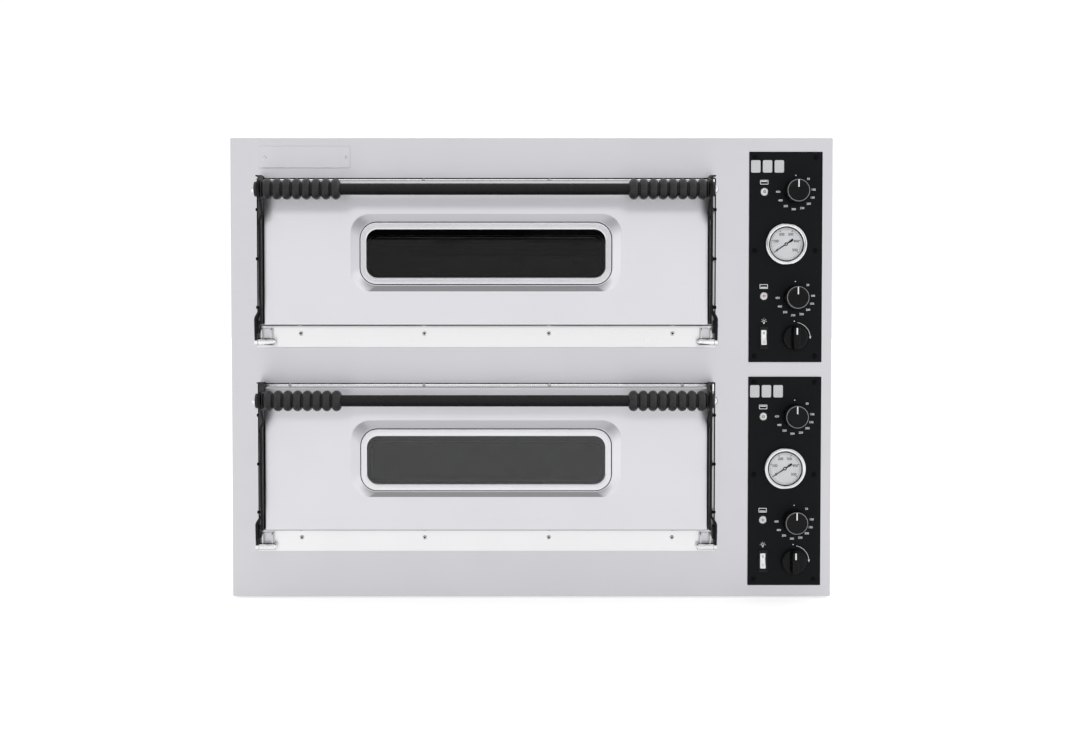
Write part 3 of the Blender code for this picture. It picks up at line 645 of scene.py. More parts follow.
def firebrick():
    look = Look("firebrick", (0.66, 0.57, 0.44), 0.9)
    body = look.noise(9.0, 5, 0.65)
    grains = look.noise(420.0, 3, 0.7)
    scorch = look.noise(4.0, 4, 0.6)
    pores = look.cells(260.0)
    pale = look.blend(body, 0.3, 0.7, (0.60, 0.50, 0.37), (0.74, 0.66, 0.54))
    speckled = look.mix(look.ramp(grains, 0.55, 0.75, 0.0, 0.7), pale, (0.36, 0.27, 0.19))
    look.colour(look.mix(look.ramp(scorch, 0.52, 0.75, 0.0, 0.75), speckled, (0.20, 0.14, 0.09)))
    look.roughness(look.ramp(grains, 0.2, 0.8, 0.82, 0.98))
    look.bump(look.ramp(pores, 0.0, 0.28), 0.5, 0.0004)
    look.bump(grains, 0.4, 0.0003)
    return look.material


def mineral_wool():
    look = Look("mineral_wool", (0.66, 0.60, 0.40), 1.0, 0.0, Sheen_Weight=0.3)
    fibres = look.noise((60, 900, 900), 4, 0.7)
    clumps = look.noise(24.0, 4, 0.6)
    tone = look.blend(clumps, 0.3, 0.7, (0.58, 0.50, 0.30), (0.76, 0.70, 0.52))
    look.colour(look.mix(look.ramp(fibres, 0.45, 0.75, 0.0, 0.6), tone, (0.42, 0.34, 0.20)))
    look.bump(fibres, 0.8, 0.001)
    return look.material


def oxidised_rod():
    look = Look("heating_rod", (0.20, 0.18, 0.17), 0.5, 1.0)
    scale = look.noise(160.0, 5, 0.7)
    bands = look.noise((16, 16, 16), 3, 0.6)
    tone = look.blend(bands, 0.35, 0.7, (0.15, 0.14, 0.14), (0.30, 0.24, 0.20))
    look.colour(look.mix(look.ramp(scale, 0.55, 0.72, 0.0, 0.7), tone, (0.40, 0.36, 0.33)))
    look.roughness(look.ramp(scale, 0.3, 0.7, 0.38, 0.66))
    look.bump(scale, 0.25, 0.0001)
    return look.material


def rubber():
    look = Look("foot_rubber", (0.028, 0.028, 0.029), 0.75, 0.0, Specular_IOR_Level=0.35)
    bloom = look.noise(70.0, 5, 0.65)
    grit = look.noise(900.0, 3, 0.6)
    look.colour(look.blend(bloom, 0.45, 0.8, (0.024, 0.024, 0.025), (0.085, 0.083, 0.080)))
    look.roughness(look.ramp(bloom, 0.3, 0.7, 0.66, 0.88))
    look.bump(grit, 0.4, 0.0002)
    return look.material


def dial_white():
    look = Look("dial_white", (0.70, 0.71, 0.73), 0.6)
    fleck = look.noise(900.0, 3, 0.6)
    shade = look.noise(40.0, 2, 0.5)
    tone = look.blend(shade, 0.3, 0.7, (0.72, 0.73, 0.75), (0.66, 0.67, 0.69))
    look.colour(look.mix(look.ramp(fleck, 0.6, 0.8, 0.0, 0.4), tone, (0.62, 0.62, 0.61)))
    look.bump(fleck, 0.15, 0.00003)
    return look.material


def lens():
    """Frosted lens over an unlit lamp: pale with a faint warm core."""
    look = Look(
        "lamp_lens", (0.84, 0.84, 0.83), 0.22, 0.0,
        Subsurface_Weight=0.2, Subsurface_Scale=0.001,
    )
    frost = look.noise(700.0, 3, 0.6)
    core = look.noise(130.0, 2, 0.5)
    tone = look.blend(core, 0.35, 0.7, (0.88, 0.88, 0.87), (0.74, 0.74, 0.73))
    look.colour(tone)
    look.roughness(look.ramp(frost, 0.3, 0.7, 0.10, 0.28))
    look.bump(frost, 0.2, 0.00005)
    return look.material


STEEL = stainless()
CHAMBER_STEEL = heat_tinted("chamber_stainless", (0.52, 0.50, 0.47), 0.34)
PLUG_STEEL = heat_tinted("plug_stainless", (0.58, 0.56, 0.53), 0.30)
CHROME = bright_metal("hinge_chrome", (0.80, 0.80, 0.81), 0.12)
BEZEL = bright_metal("bezel_chrome", (0.74, 0.74, 0.75), 0.14)
ZINC = bright_metal("screw_zinc", (0.62, 0.62, 0.62), 0.24)
CAPILLARY = bright_metal("bulb_copper", (0.62, 0.36, 0.22), 0.30)
LEVER_BLACK = coated("lever_black", (0.0045, 0.0045, 0.0050), 0.42, worn=0.3, level=0.16)
# the bar's upward faces carry a painted top light
BAR_BLACK_PAINTED_TOP_LIGHT = coated("bar_black_painted_top_light", (0.0012, 0.0012, 0.0014), 0.26, worn=0.05, level=0.10,
                   painted_top_light=(0.022, 0.022, 0.0225))
CONTROL_BLACK = coated("control_black", (0.0042, 0.0050, 0.0060), 0.50, 1500.0, 0.00003, 0.10)
SCREW_BLACK = coated("screw_black", (0.0020, 0.0020, 0.0022), 0.40, 1500.0, level=0.08)
# the grips' upward faces carry a painted top light
GRIP_BLACK_PAINTED_TOP_LIGHT = moulded("grip_black", (0.0015, 0.0015, 0.0020), 0.30, 1300.0, 0.00005, 0.28,
                     painted_top_light=(0.034, 0.034, 0.035))
KNOB_BLACK = moulded("knob_black", (0.0030, 0.0030, 0.0034), 0.28, 2600.0, 0.00002, 0.14)
# lighter grey for the ring on the knob's rim: a painted highlight of the rim's chamfer
KNOB_EDGE_HIGHLIGHT = moulded("knob_edge_painted_highlight", (0.22, 0.22, 0.23), 0.40, 2600.0, 0.00002, 0.4)
SWITCH_BLACK = moulded("switch_black", (0.005, 0.005, 0.0055), 0.30, 2600.0, 0.00002, 0.2)
GLAND_GREY = moulded("gland_plastic", (0.06, 0.06, 0.065), 0.45, 1500.0)
ROCKER_WHITE = moulded("rocker_white", (0.80, 0.80, 0.79), 0.24, 2600.0, 0.00001)
PRINT_WHITE = printed("print_white", (0.82, 0.83, 0.84))
PRINT_GREY = printed("print_grey", (0.58, 0.59, 0.60))
PRINT_BLACK = printed("print_black", (0.020, 0.020, 0.022))
# near-black matte for seals, and for strips that are painted shade in the gaps round doors and windows
SEAL_AND_SHADE_BLACK = coated("seal_and_painted_shade_black", (0.0012, 0.0012, 0.0014), 0.8, level=0.02)
GLASS = door_glass()
COVER = clear_cover()
STONE = firebrick()
WOOL = mineral_wool()
ROD = oxidised_rod()
RUBBER = rubber()
DIAL = dial_white()
LENS = lens()


# ---------------------------------------------------------------- casing

BEND_ANGLES = [radians(22.5 * step) for step in range(1, 5)]
SIDEWAYS = Matrix(((0, 0, 1, 0), (1, 0, 0, 0), (0, 1, 0, 0), (0, 0, 0, 1)))  # z to +X


def bend_rows(radius, start):
    """(inset, depth) rows round a sheet's folded rim, from its free edge to its face."""
    rows = [(0.0, -start), (0.0, -radius)]
    rows += [(radius * (1 - cos(a)), radius * (sin(a) - 1)) for a in BEND_ANGLES]
    return rows


def front_sheet():
    bm = bmesh.new()
    shape = (PANEL_W / 2, PANEL_BOTTOM, PANEL_TOP, 0.0022)
    rings = loft(bm, [
        [spot(x, forward, z) for x, z in rounded(shape, 4, -inset)]
        for inset, forward in bend_rows(0.0012, FOLD)
    ])
    outlines = []
    for deck in DECKS:
        low, high = (HINGE_Z[deck] + z for z in OPENING_Z)
        outlines.append(shifted(rounded((OPENING_HALF, low, high, 0.002), 4), DECK_X, 0))
        wide, tall = (side - 0.008 for side in CONTROL_HALF)
        middle = CONTROL_Z[deck]
        hole = rounded((wide, middle - tall, middle + tall, 0.003), 4)
        outlines.append(shifted(hole, CONTROL_X, 0))
    loops = [rings[-1]]
    loops += [[bm.verts.new(spot(x, 0, z)) for x, z in outline] for outline in outlines]
    fill(bm, loops)
    piece("front_sheet", bm, STEEL["front"], stands_for=["front_panel"],
          sheet=SHEET, bevel=0.0004, toward=(0, -1, 0))


def name_plate():
    """A blank plate on two rivets."""
    bm = bmesh.new()
    outline = shifted(rounded((0.0742, 0.7000, 0.7350, 0.0020), 4), -0.3678, 0)
    plate(bm, [outline], 0.0015, placed(spot(0, 0.0002, 0), FRONT), 0.0004)
    piece("name_plate_blank", bm, STEEL["plate"])
    rivets = [placed(spot(x, 0.0017, 0.7175), FRONT) for x in (-0.4310, -0.3000)]
    screws("name_plate_rivets", dome, (0.0024, 0.0012), rivets)


def side_sheet(name, side):
    front, rear = FRONT_Y + FOLD + GAP, BACK_Y - 2 * SHEET - 2 * GAP
    middle, half = (front + rear) / 2, (rear - front) / 2
    outlines = [shifted(rounded((half, SIDE_BOTTOM, SIDE_TOP, 0.0015), 3), middle, 0)]
    slots = []
    if side > 0:
        for deck in DECKS:
            for row in range(SLOT_COUNT):
                z = CONTROL_Z[deck] + (row - (SLOT_COUNT - 1) / 2) * SLOT_PITCH
                slots.append(z)
                outlines.append(capsule((SLOT_Y, z), *SLOT_SIZE))
    bm = bmesh.new()
    inner = SIDE_X - SHEET if side > 0 else -SIDE_X
    plate(bm, outlines, SHEET, placed((inner, 0, 0), SIDEWAYS), 0.0003)
    piece(name + "_skin", bm, STEEL["side"], stands_for=[name])
    spots = [(y, SIDE_BOTTOM + 0.010) for y in (front + 0.030, -0.12, 0.12, rear - 0.030)]
    spots += [(rear - 0.010, z) for z in (0.200, 0.380, 0.560)]
    turn = OUTWARD[side]
    screws(name + "_screws", pan_screw, (0.0042, 0.0016),
           [placed((side * SIDE_X, y, z), turn) for y, z in spots])
    if slots:
        louvres(slots)


def louvres(heights):
    """Hoods pressed out over the vent slots."""
    bm = bmesh.new()
    long = SLOT_SIZE[0] + 0.004
    for z in heights:
        loops = []
        for step in range(17):
            u = step / 8 - 1
            swell = max(1 - u ** 4, 0) ** 0.5
            arc = []
            for row in range(6):
                v = row / 5
                arc.append((
                    SIDE_X - 0.0001 + 0.0015 * sin(v * pi / 2) * swell,
                    SLOT_Y + u * long / 2,
                    z + 0.0036 - 0.0040 * v * (0.35 + 0.65 * swell),
                ))
            loops.append(arc)
        loft(bm, loops, wrap=False)
    piece("right_side_louvres", bm, STEEL["side"], sheet=0.0005,
          toward=(1, 0, 0), sharp=60)


def lid():
    half, top, front = SIDE_X + GAP + 0.0012, PANEL_TOP - GAP, FRONT_Y + FOLD + GAP
    loops = []
    for inset, depth in bend_rows(0.0020, 0.015):
        corner = max(0.0022 - inset, 0.0003)
        wide, back = half - inset, BACK_Y - inset
        flat = [(-wide, front), (-wide, back), (wide, back), (wide, front)]
        path = softened(flat, corner, 4, closed=False)
        loops.append([(x, y, top + depth) for x, y in path])
    bm = bmesh.new()
    loft(bm, loops, cap_last=True, wrap=False)
    piece("lid_skin", bm, STEEL["lid"], stands_for=["top_cover"],
          sheet=0.0012, bevel=0.0003, toward=(0, 0, 1))
    screws("lid_screws", pan_screw, (0.0040, 0.0016),
           [placed((x, BACK_Y, 0.7400), BACK) for x in (-0.40, -0.13, 0.13, 0.40)])


def rear_sheet():
    outer = BACK_Y - SHEET - GAP
    top = PANEL_TOP - GAP - SHEET - GAP
    outlines = [rounded((SIDE_X, SIDE_BOTTOM, top, 0.0015), 3)]
    outlines += [
        oval((DECK_X, HINGE_Z[deck] + VENT_Z), 2 * VENT_R + 0.002, 2 * VENT_R + 0.002, 40)
        for deck in DECKS
    ]
    outlines.append(oval((GLAND_X, GLAND_Z), 0.017, 0.017))
    bm = bmesh.new()
    plate(bm, outlines, SHEET, placed((0, outer, 0), FRONT), 0.0003)
    piece("rear_skin", bm, STEEL["side"], stands_for=["rear_panel"])
    spots = [(x, z) for x in (-0.470, -0.157, 0.157, 0.470) for z in (0.026, 0.718)]
    spots += [(x, z) for x in (-0.470, 0.470) for z in (0.200, 0.380, 0.560)]
    for deck in DECKS:
        z = HINGE_Z[deck] + VENT_Z
        spots += [(DECK_X + dx, z + dz) for dx in (-0.027, 0.027) for dz in (-0.027, 0.027)]
    screws("rear_screws", pan_screw, (0.0042, 0.0020),
           [placed((x, outer + (0.0012 if abs(x - DECK_X) < 0.03 else 0), z), BACK) for x, z in spots])
    bm = bmesh.new()
    for deck in DECKS:
        middle = HINGE_Z[deck] + VENT_Z
        collar = shifted(rounded((0.034, middle - 0.034, middle + 0.034, 0.006), 5), DECK_X, 0)
        hole = oval((DECK_X, middle), 2 * VENT_R + 0.0008, 2 * VENT_R + 0.0008, 40)
        plate(bm, [collar, hole], 0.0012, placed((0, outer + 0.0012, 0), FRONT), 0.0003)
    piece("vent_collars", bm, STEEL["lid"])


def feet():
    outline = [(0, 0.024), (0.004, 0.024), (0.004, 0.0137), (0.017, 0.0137), (0.020, 0.0107),
               (0.020, 0.0065), (0.0190, 0.0058), (0.0190, 0.0048), (0.020, 0.0040),
               (0.0195, 0.0010), (0.018, 0), (0.012, 0), (0.010, 0.0012), (0, 0.0012)]
    profile = softened(outline, 0.0008, 2, closed=False)
    for corner, (x, y) in FOOT_SPOTS.items():
        bm = bmesh.new()
        turned(bm, profile, 48, placed((x, y, 0), UP))
        piece(f"rubber_foot_{corner}", bm, RUBBER,
              stands_for=["foot_" + corner])


def gland():
    outer = BACK_Y - SHEET - GAP
    profile = [
        (0.0050, 0.0198), (0.0078, 0.0198), (0.0092, 0.0186), (0.0101, 0.0160), (0.0105, 0.0120),
        (0.0105, 0.0092), (0.0100, 0.0086), (0.0121, 0.0084), (0.0125, 0.0076), (0.0125, 0.0014),
        (0.0121, 0.0005), (0.0080, 0.0004), (0.0080, -0.0130), (0.0050, -0.0130),
    ]
    bm = bmesh.new()
    turned(bm, profile, 48, placed((GLAND_X, outer, GLAND_Z), BACK), facets=(7, 8, 9, 10), closed=True)
    for step in range(12):
        turn = Matrix.Rotation(2 * pi * step / 12, 4, "Z")
        rib = placed((GLAND_X, outer, GLAND_Z), BACK) @ turn @ Matrix.Translation((0.0103, 0, 0.0125))
        block(bm, (-0.0006, -0.0005, -0.0034), (0.0006, 0.0005, 0.0034), rib)
    piece("gland_body", bm, GLAND_GREY, stands_for=["cable_gland"])


def carried_nodes():
    """CAD pieces whose shape is right keep it, with a better finish."""
    for name, look in (("base_pan", STEEL["side"]), ("insulation", WOOL)):
        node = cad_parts[name]
        node.data.materials.clear()
        node.data.materials.append(look)


# ---------------------------------------------------------------- chambers


def chamber(deck):
    bm = bmesh.new()
    mouth = (MOUTH_HALF, *MOUTH_Z, 0.004)
    room = (CHAMBER_HALF, CHAMBER_FLOOR, CHAMBER_TOP, 0.004)
    back = FRONT_Y - CHAMBER_BACK_OUT
    loops = [
        deck_loop(deck, (FLANGE_HALF, *FLANGE_Z, 0.003), FLANGE_OUT),
        deck_loop(deck, mouth, FLANGE_OUT, grow=0.0014),
        deck_loop(deck, mouth, FLANGE_OUT - 0.0004, grow=0.0004),
        deck_loop(deck, mouth, FLANGE_OUT - 0.0014),
        deck_loop(deck, mouth, LIP_OUT + 0.0004),
        deck_loop(deck, room, LIP_OUT),
        deck_loop(deck, room, CHAMBER_BACK_OUT + 0.002),
        deck_loop(deck, room, CHAMBER_BACK_OUT, grow=-0.002),
    ]
    rings = loft(bm, loops)
    hole = [bm.verts.new(on_deck(deck, x, CHAMBER_BACK_OUT, VENT_Z + z))
            for x, z in oval((0, 0), 2 * VENT_R - 0.003, 2 * VENT_R - 0.003, 40)]
    fill(bm, (rings[-1], hole))
    piece(f"{deck}_chamber_liner", bm, CHAMBER_STEEL,
          stands_for=[deck + "_chamber"], sheet=0.0012, toward=(0, -1, 0))
    bm = bmesh.new()
    long = VENT_END_Y - back
    pipe = [(VENT_R - 0.0015, 0.0), (VENT_R - 0.0015, long - 0.0004), (VENT_R - 0.0010, long),
            (VENT_R - 0.0005, long), (VENT_R, long - 0.0004), (VENT_R, 0.0)]
    turned(bm, pipe, 48, placed(on_deck(deck, 0, CHAMBER_BACK_OUT, VENT_Z), BACK), closed=True)
    piece(f"{deck}_steam_pipe", bm, STEEL["lid"])
    bm = bmesh.new()
    for side in (-1, 1):
        low = STONE_Z[0] - GAP
        for inner, drop in ((0.315, 0.0015), (0.3284, 0.012)):
            near, far = sorted((side * inner, side * 0.3296))
            block(bm, on_deck(deck, near, LIP_OUT - 0.004, low - drop),
                  on_deck(deck, far, CHAMBER_BACK_OUT + 0.004, low))
    piece(f"{deck}_stone_ledges", bm, CHAMBER_STEEL, bevel=0.0004)
    bm = bmesh.new()
    baffle = on_face(deck, (0.030, 0.108, 0.172, 0.004), 4)
    plate(bm, [baffle], 0.0012, placed(spot(0, CHAMBER_BACK_OUT + 0.0140, 0), FRONT), 0.0003)
    for x in (-0.024, 0.024):
        for z in (0.114, 0.166):
            post = placed(on_deck(deck, x, CHAMBER_BACK_OUT, z), FRONT)
            turned(bm, [(0, 0.0142), (0.0030, 0.0142), (0.0030, 0.0), (0, 0.0)], 16, post)
    piece(f"{deck}_steam_baffle", bm, CHAMBER_STEEL)


def stone(deck):
    low = on_deck(deck, -0.3270, LIP_OUT - SHEET - 0.001, STONE_Z[0])
    high = on_deck(deck, 0.3270, CHAMBER_BACK_OUT + 0.004, STONE_Z[1])
    bm = bmesh.new()
    block(bm, low, high)
    bmesh.ops.subdivide_edges(bm, edges=bm.edges[:], cuts=3, use_grid_fill=True)
    piece(f"{deck}_stone_floor", bm, STONE, stands_for=[deck + "_stone"],
          bevel=0.0022)


def element(deck, level):
    z = ROD_Z[level]
    path = [(ROD_END_X, ROD_FIRST_OUT)]
    for run in range(ROD_RUNS - 1):
        side = -1 if run % 2 == 0 else 1
        middle = ROD_FIRST_OUT - (run + 0.5) * ROD_PITCH
        for step in range(17):
            angle = pi / 2 - pi * step / 16
            path.append((side * (ROD_HALF + ROD_PITCH / 2 * cos(angle)),
                         middle + ROD_PITCH / 2 * sin(angle)))
    path.append((ROD_END_X, ROD_FIRST_OUT - ROD_PITCH * (ROD_RUNS - 1)))
    bm = bmesh.new()
    tube(bm, [on_deck(deck, x, forward, z) for x, forward in path], ROD_R)
    for forward in (path[0][1], path[-1][1]):
        ferrule = placed(on_deck(deck, CHAMBER_HALF - 0.0008, forward, z), LEFT)
        turned(bm, [(0, 0.006), (0.0046, 0.006), (0.0052, 0.0054), (0.0052, 0.0)], 24, ferrule)
    piece(f"{deck}_{level}_heating_rod", bm, ROD,
          stands_for=[f"{deck}_{level}_element"], sharp=50)


def chamber_fittings(deck):
    """Lamp with its guard ring, and the thermostat and thermometer bulbs on the left wall."""
    bm = bmesh.new()
    for z, start in ((0.062, -0.20), (0.076, -0.20), (0.120, -0.26)):
        points = [on_deck(deck, -0.3235, start - 0.006 * k, z) for k in range(19)]
        tube(bm, points, 0.0028)
        tail = [on_deck(deck, -0.3235, start - 0.108 - 0.004 * k, z) for k in range(7)]
        tube(bm, tail, 0.0010, 8)
    piece(f"{deck}_chamber_bulbs", bm, CAPILLARY, sharp=50)
    bm = bmesh.new()
    for z, start in ((0.069, -0.215), (0.069, -0.295), (0.120, -0.275), (0.120, -0.350)):
        tall = 0.014 if z < 0.1 else 0.008
        low = on_deck(deck, -0.3296, start, z - tall)
        block(bm, low, low + Vector((0.0094, 0.006, 2 * tall)))
    piece(f"{deck}_bulb_clips", bm, CHAMBER_STEEL, bevel=0.0008)
    place = placed(on_deck(deck, CHAMBER_HALF - 0.0003, -0.545, 0.110), LEFT)
    bm = bmesh.new()
    turned(bm, softened([(0.0225, 0.0), (0.0225, 0.0060), (0.0285, 0.0060), (0.0285, 0.0)], 0.0012, 3),
           48, place, closed=True)
    piece(f"{deck}_lamp_guard", bm, CHROME)
    bm = bmesh.new()
    dome(bm, place, 0.0222, 0.0170, 40)
    piece(f"{deck}_chamber_lamp_glass", bm, LENS, sharp=60)


def sill(deck):
    bm = bmesh.new()
    outline = on_face(deck, (OPENING_HALF, *SILL_Z, 0.0012), 4)
    plate(bm, [outline], 0.002, placed(spot(0, GAP, 0), FRONT), 0.0006)
    piece(f"{deck}_sill", bm, STEEL["sill"],
          stands_for=[deck + "_sill_plate"])
    heads, hollows = (
        [placed(spot(x, forward, HINGE_Z[deck] + 0.0130), FRONT) for x in SCREW_XS]
        for forward in (GAP + 0.002, GAP + 0.0034)
    )
    screws(f"{deck}_sill_screws", pan_screw, (), heads)
    # dark discs in the sill screws' sockets: painted shade in the recesses
    screws(f"{deck}_sill_screw_socket_painted_shade", socket, (), hollows, SCREW_BLACK)


def lintel(deck):
    """Bright lining strip round the door, a little behind the front sheet, with its screws."""
    bm = bmesh.new()
    low, high = OPENING_Z
    place = placed(spot(0, FLANGE_OUT + 0.00015, 0), FRONT)
    wide = OPENING_HALF - 0.0018
    over = on_face(deck, (wide, high - 0.0140, high - 0.0018, 0.0008), 3)
    plate(bm, [over], 0.0003, place, 0.00005)
    piece(f"{deck}_lining_over_door", bm, STEEL["lining"])
    bm = bmesh.new()
    for side in (-1, 1):
        beside = on_face(deck, (0.0130, low + 0.0006, high - 0.0145, 0.0008), 3,
                         dx=side * (wide - 0.0130))
        plate(bm, [beside], 0.0003, place, 0.00005)
    piece(f"{deck}_lining_beside_door", bm, STEEL["side"])
    # thin black sheet round the opening: painted shade in the gap between the front sheet and the lining
    bm = bmesh.new()
    rim = (OPENING_HALF + 0.0030, low - 0.0030, high + 0.0030, 0.002)
    hole = (OPENING_HALF - 0.0030, low + 0.0030, high - 0.0030, 0.002)
    place = placed(spot(0, FLANGE_OUT + 0.00002, 0), FRONT)
    plate(bm, [on_face(deck, rim, 3), on_face(deck, hole, 3)], 0.0001, place, 0.00002)
    piece(f"{deck}_opening_gap_painted_shade", bm, SEAL_AND_SHADE_BLACK)
    screws(f"{deck}_lintel_screws", pan_screw, (0.0028, 0.0018),
           [placed(spot(x, FLANGE_OUT + 0.0004, HINGE_Z[deck] + 0.2618), FRONT) for x in LINTEL_XS])


def hinge(deck, side):
    """Fixed half of a hinge: foot plate, two cheeks, knuckle and pin."""
    word = SIDE_WORD[side]
    back = 2 * GAP + 0.002
    bm = bmesh.new()
    outline = on_face(deck, (0.00975, -0.0060, 0.0220, 0.0012), 4, dx=side * 0.35525)
    plate(bm, [outline], 0.002, placed(spot(0, back, 0), FRONT), 0.0004)
    side_view = softened([(back + 0.0010, 0.0), (0.0125, 0.0), (0.0140, 0.0030), (0.0140, 0.0185),
                          (0.0110, 0.0215), (back + 0.0010, 0.0215)], 0.0016, 3)
    for x in (0.3466, 0.3619):
        inner = side * x if side > 0 else side * x - 0.002
        outline = [(FRONT_Y - forward, HINGE_Z[deck] + z) for forward, z in side_view]
        plate(bm, [outline], 0.002, placed((DECK_X + inner, 0, 0), SIDEWAYS), 0.0003)
    piece(f"{deck}_{word}_hinge_cheeks", bm, STEEL["plate"])
    bm = bmesh.new()
    start, end = KNUCKLE_SPAN
    profile = softened([(0, end), (KNUCKLE_R, end), (KNUCKLE_R, start + 0.0030),
                        (0.0036, start), (0, start)], 0.0007, 3, closed=False)
    turn = OUTWARD[side]
    turned(bm, profile, 40, placed(on_deck(deck, 0, HINGE_OUT, 0), turn))
    pin = [(0, 0.3745), (0.0022, 0.3745), (0.0029, 0.3741), (0.0029, 0.3600), (0, 0.3600)]
    turned(bm, pin, 24, placed(on_deck(deck, 0, HINGE_OUT, 0), turn))
    piece(f"{deck}_{word}_hinge_knuckle", bm, CHROME,
          stands_for=[f"{deck}_{word}_hinge"])


# ---------------------------------------------------------------- doors


def pressed_loop(deck, crest, rise, share):
    """One loop of the slope round the window ring: even, and hollow in the corners listed in
    HOLLOW_CORNERS."""
    points = []
    for index, (x, z) in enumerate(rounded(mixed(SURROUND, crest, share), CORNER_STEPS)):
        corner, step = divmod(index, CORNER_STEPS + 1)
        deeper = HOLLOW * sin(pi * step / CORNER_STEPS) if corner in HOLLOW_CORNERS else 0
        hollow = 1 + deeper
        points.append(on_deck(deck, x, DOOR_OUT + rise * share ** hollow, z))
    return points


CORNER_STEPS = 12
HOLLOW_CORNERS = (0, 3)
HOLLOW = 0.6  # added to the slope's power in the middle of a hollow corner


def door_skin(deck):
    """Outer pressing: flat sheet with a rolled rim and a slope that rises to the window ring."""
    body = deck + "_door"
    edge = (DOOR_HALF, *DOOR_Z, 0.0035)
    rows = [(edge, 0.0, 0.0), (edge, DOOR_OUT - 0.0022, 0.0)]
    rows += [
        (edge, DOOR_OUT - 0.0022 * (1 - sin(a)), -0.0022 * (1 - cos(a))) for a in BEND_ANGLES
    ]
    crest = tuple(a + b for a, b in zip(RING, (0.0021, -0.0021, 0.0021, 0.0021)))
    rise = RING_OUT - 0.0016 - DOOR_OUT
    rows += [(SURROUND, DOOR_OUT, 0.0030), (SURROUND, DOOR_OUT, 0.0008)]
    loops = [deck_loop(deck, shape, forward, 12, grow) for shape, forward, grow in rows]
    loops += [pressed_loop(deck, crest, rise, share) for share in PRESSED_STEPS]
    rows = [
        (RING, DOOR_OUT + rise, 0.0016), (RING, DOOR_OUT + rise - 0.0002, 0.0013),
        (RING, DOOR_OUT + rise - 0.0008, 0.0012), (RING, DOOR_OUT + 0.0034, 0.0012),
        (WINDOW, DOOR_OUT + 0.0034, 0.0015),
    ]
    loops += [deck_loop(deck, shape, forward, 12, grow) for shape, forward, grow in rows]
    bm = bmesh.new()
    loft(bm, loops)
    piece(f"{deck}_door_skin", bm, STEEL["door"], body,
          [deck + "_door_outer"], sheet=0.0012, toward=(0, -1, 0), sharp=40)
    bm = bmesh.new()
    ring_rows = [
        (RING, DOOR_OUT + 0.0036, 0.0), (RING, RING_OUT - 0.0010, 0.0),
        (RING, RING_OUT - 0.0003, -0.0003), (RING, RING_OUT, -0.0012),
        (WINDOW, RING_OUT, 0.0022), (WINDOW, RING_OUT - 0.0004, 0.0009),
        (WINDOW, RING_OUT - 0.0010, 0.0002), (WINDOW, RING_OUT - 0.0018, 0.0),
        (WINDOW, RING_OUT - 0.0030, 0.0), (WINDOW, RING_OUT - 0.0030, 0.0012),
    ]
    loft(bm, [deck_loop(deck, shape, forward, 14, grow) for shape, forward, grow in ring_rows])
    piece(f"{deck}_window_ring", bm, STEEL["ring"], body, toward=(0, -1, 0),
          sharp=40)
    # black loop in the gap round the ring: painted shade of the gap between ring and pressing
    bm = bmesh.new()
    seat = [(RING, DOOR_OUT + rise - forward, grow)
            for forward, grow in ((0.0030, 0.0), (0.0008, 0.0), (0.0008, 0.0013), (0.0030, 0.0013))]
    loft(bm, [deck_loop(deck, shape, forward, 12, grow) for shape, forward, grow in seat])
    piece(f"{deck}_ring_gap_painted_shade", bm, SEAL_AND_SHADE_BLACK, body, toward=(0, -1, 0), sharp=40)
    # thin black rod along the door's top edge: painted shade of the gap over the door, thicker on the
    # upper deck
    bm = bmesh.new()
    half, radius = DOOR_HALF - 0.008, 0.0007 if deck == "upper" else 0.0003
    along = [on_deck(deck, x, DOOR_OUT - 0.0030, DOOR_Z[1] + 0.0001) for x in (-half, 0.0, half)]
    tube(bm, along, radius)
    piece(f"{deck}_door_top_painted_shade", bm, SEAL_AND_SHADE_BLACK, body, sharp=60)
    under = [placed(spot(x, 0.0110, HINGE_Z[deck] + DOOR_Z[0] + 0.0002), DOWN) for x in SCREW_XS]
    screws(f"{deck}_door_edge_screws", dome, (0.0030, 0.0016), under, body=body)


def door_pane(deck):
    half, bottom, top, radius = WINDOW
    pane = (half + 0.006, bottom - 0.006, top + 0.006, radius + 0.004)
    front = RING_OUT - 0.0033
    rows = [(front - 0.0004, 0.0), (front, -0.0004), (front - 0.004, -0.0004), (front - 0.0036, 0.0)]
    bm = bmesh.new()
    loops = [deck_loop(deck, pane, forward, 8, grow) for forward, grow in rows]
    ordered = [loops[1], loops[0], loops[3], loops[2]]
    loft(bm, ordered, cap_first=True, cap_last=True)
    piece(f"{deck}_door_pane", bm, GLASS, deck + "_door", [deck + "_door_glass"])
    # black gasket behind the pane, hiding the tunnel's edge; its wide band along the top is painted
    # shade inside the top of the window
    bm = bmesh.new()
    opening = (half - 0.0060, bottom + 0.0050, top - 0.0120, radius - 0.004)
    lines = [on_face(deck, pane, 8, -0.0010), on_face(deck, opening)]
    plate(bm, lines, 0.0008, placed(spot(0, front - 0.0051, 0), FRONT), 0.00005)
    piece(f"{deck}_pane_seal_and_painted_shade", bm, SEAL_AND_SHADE_BLACK, deck + "_door")


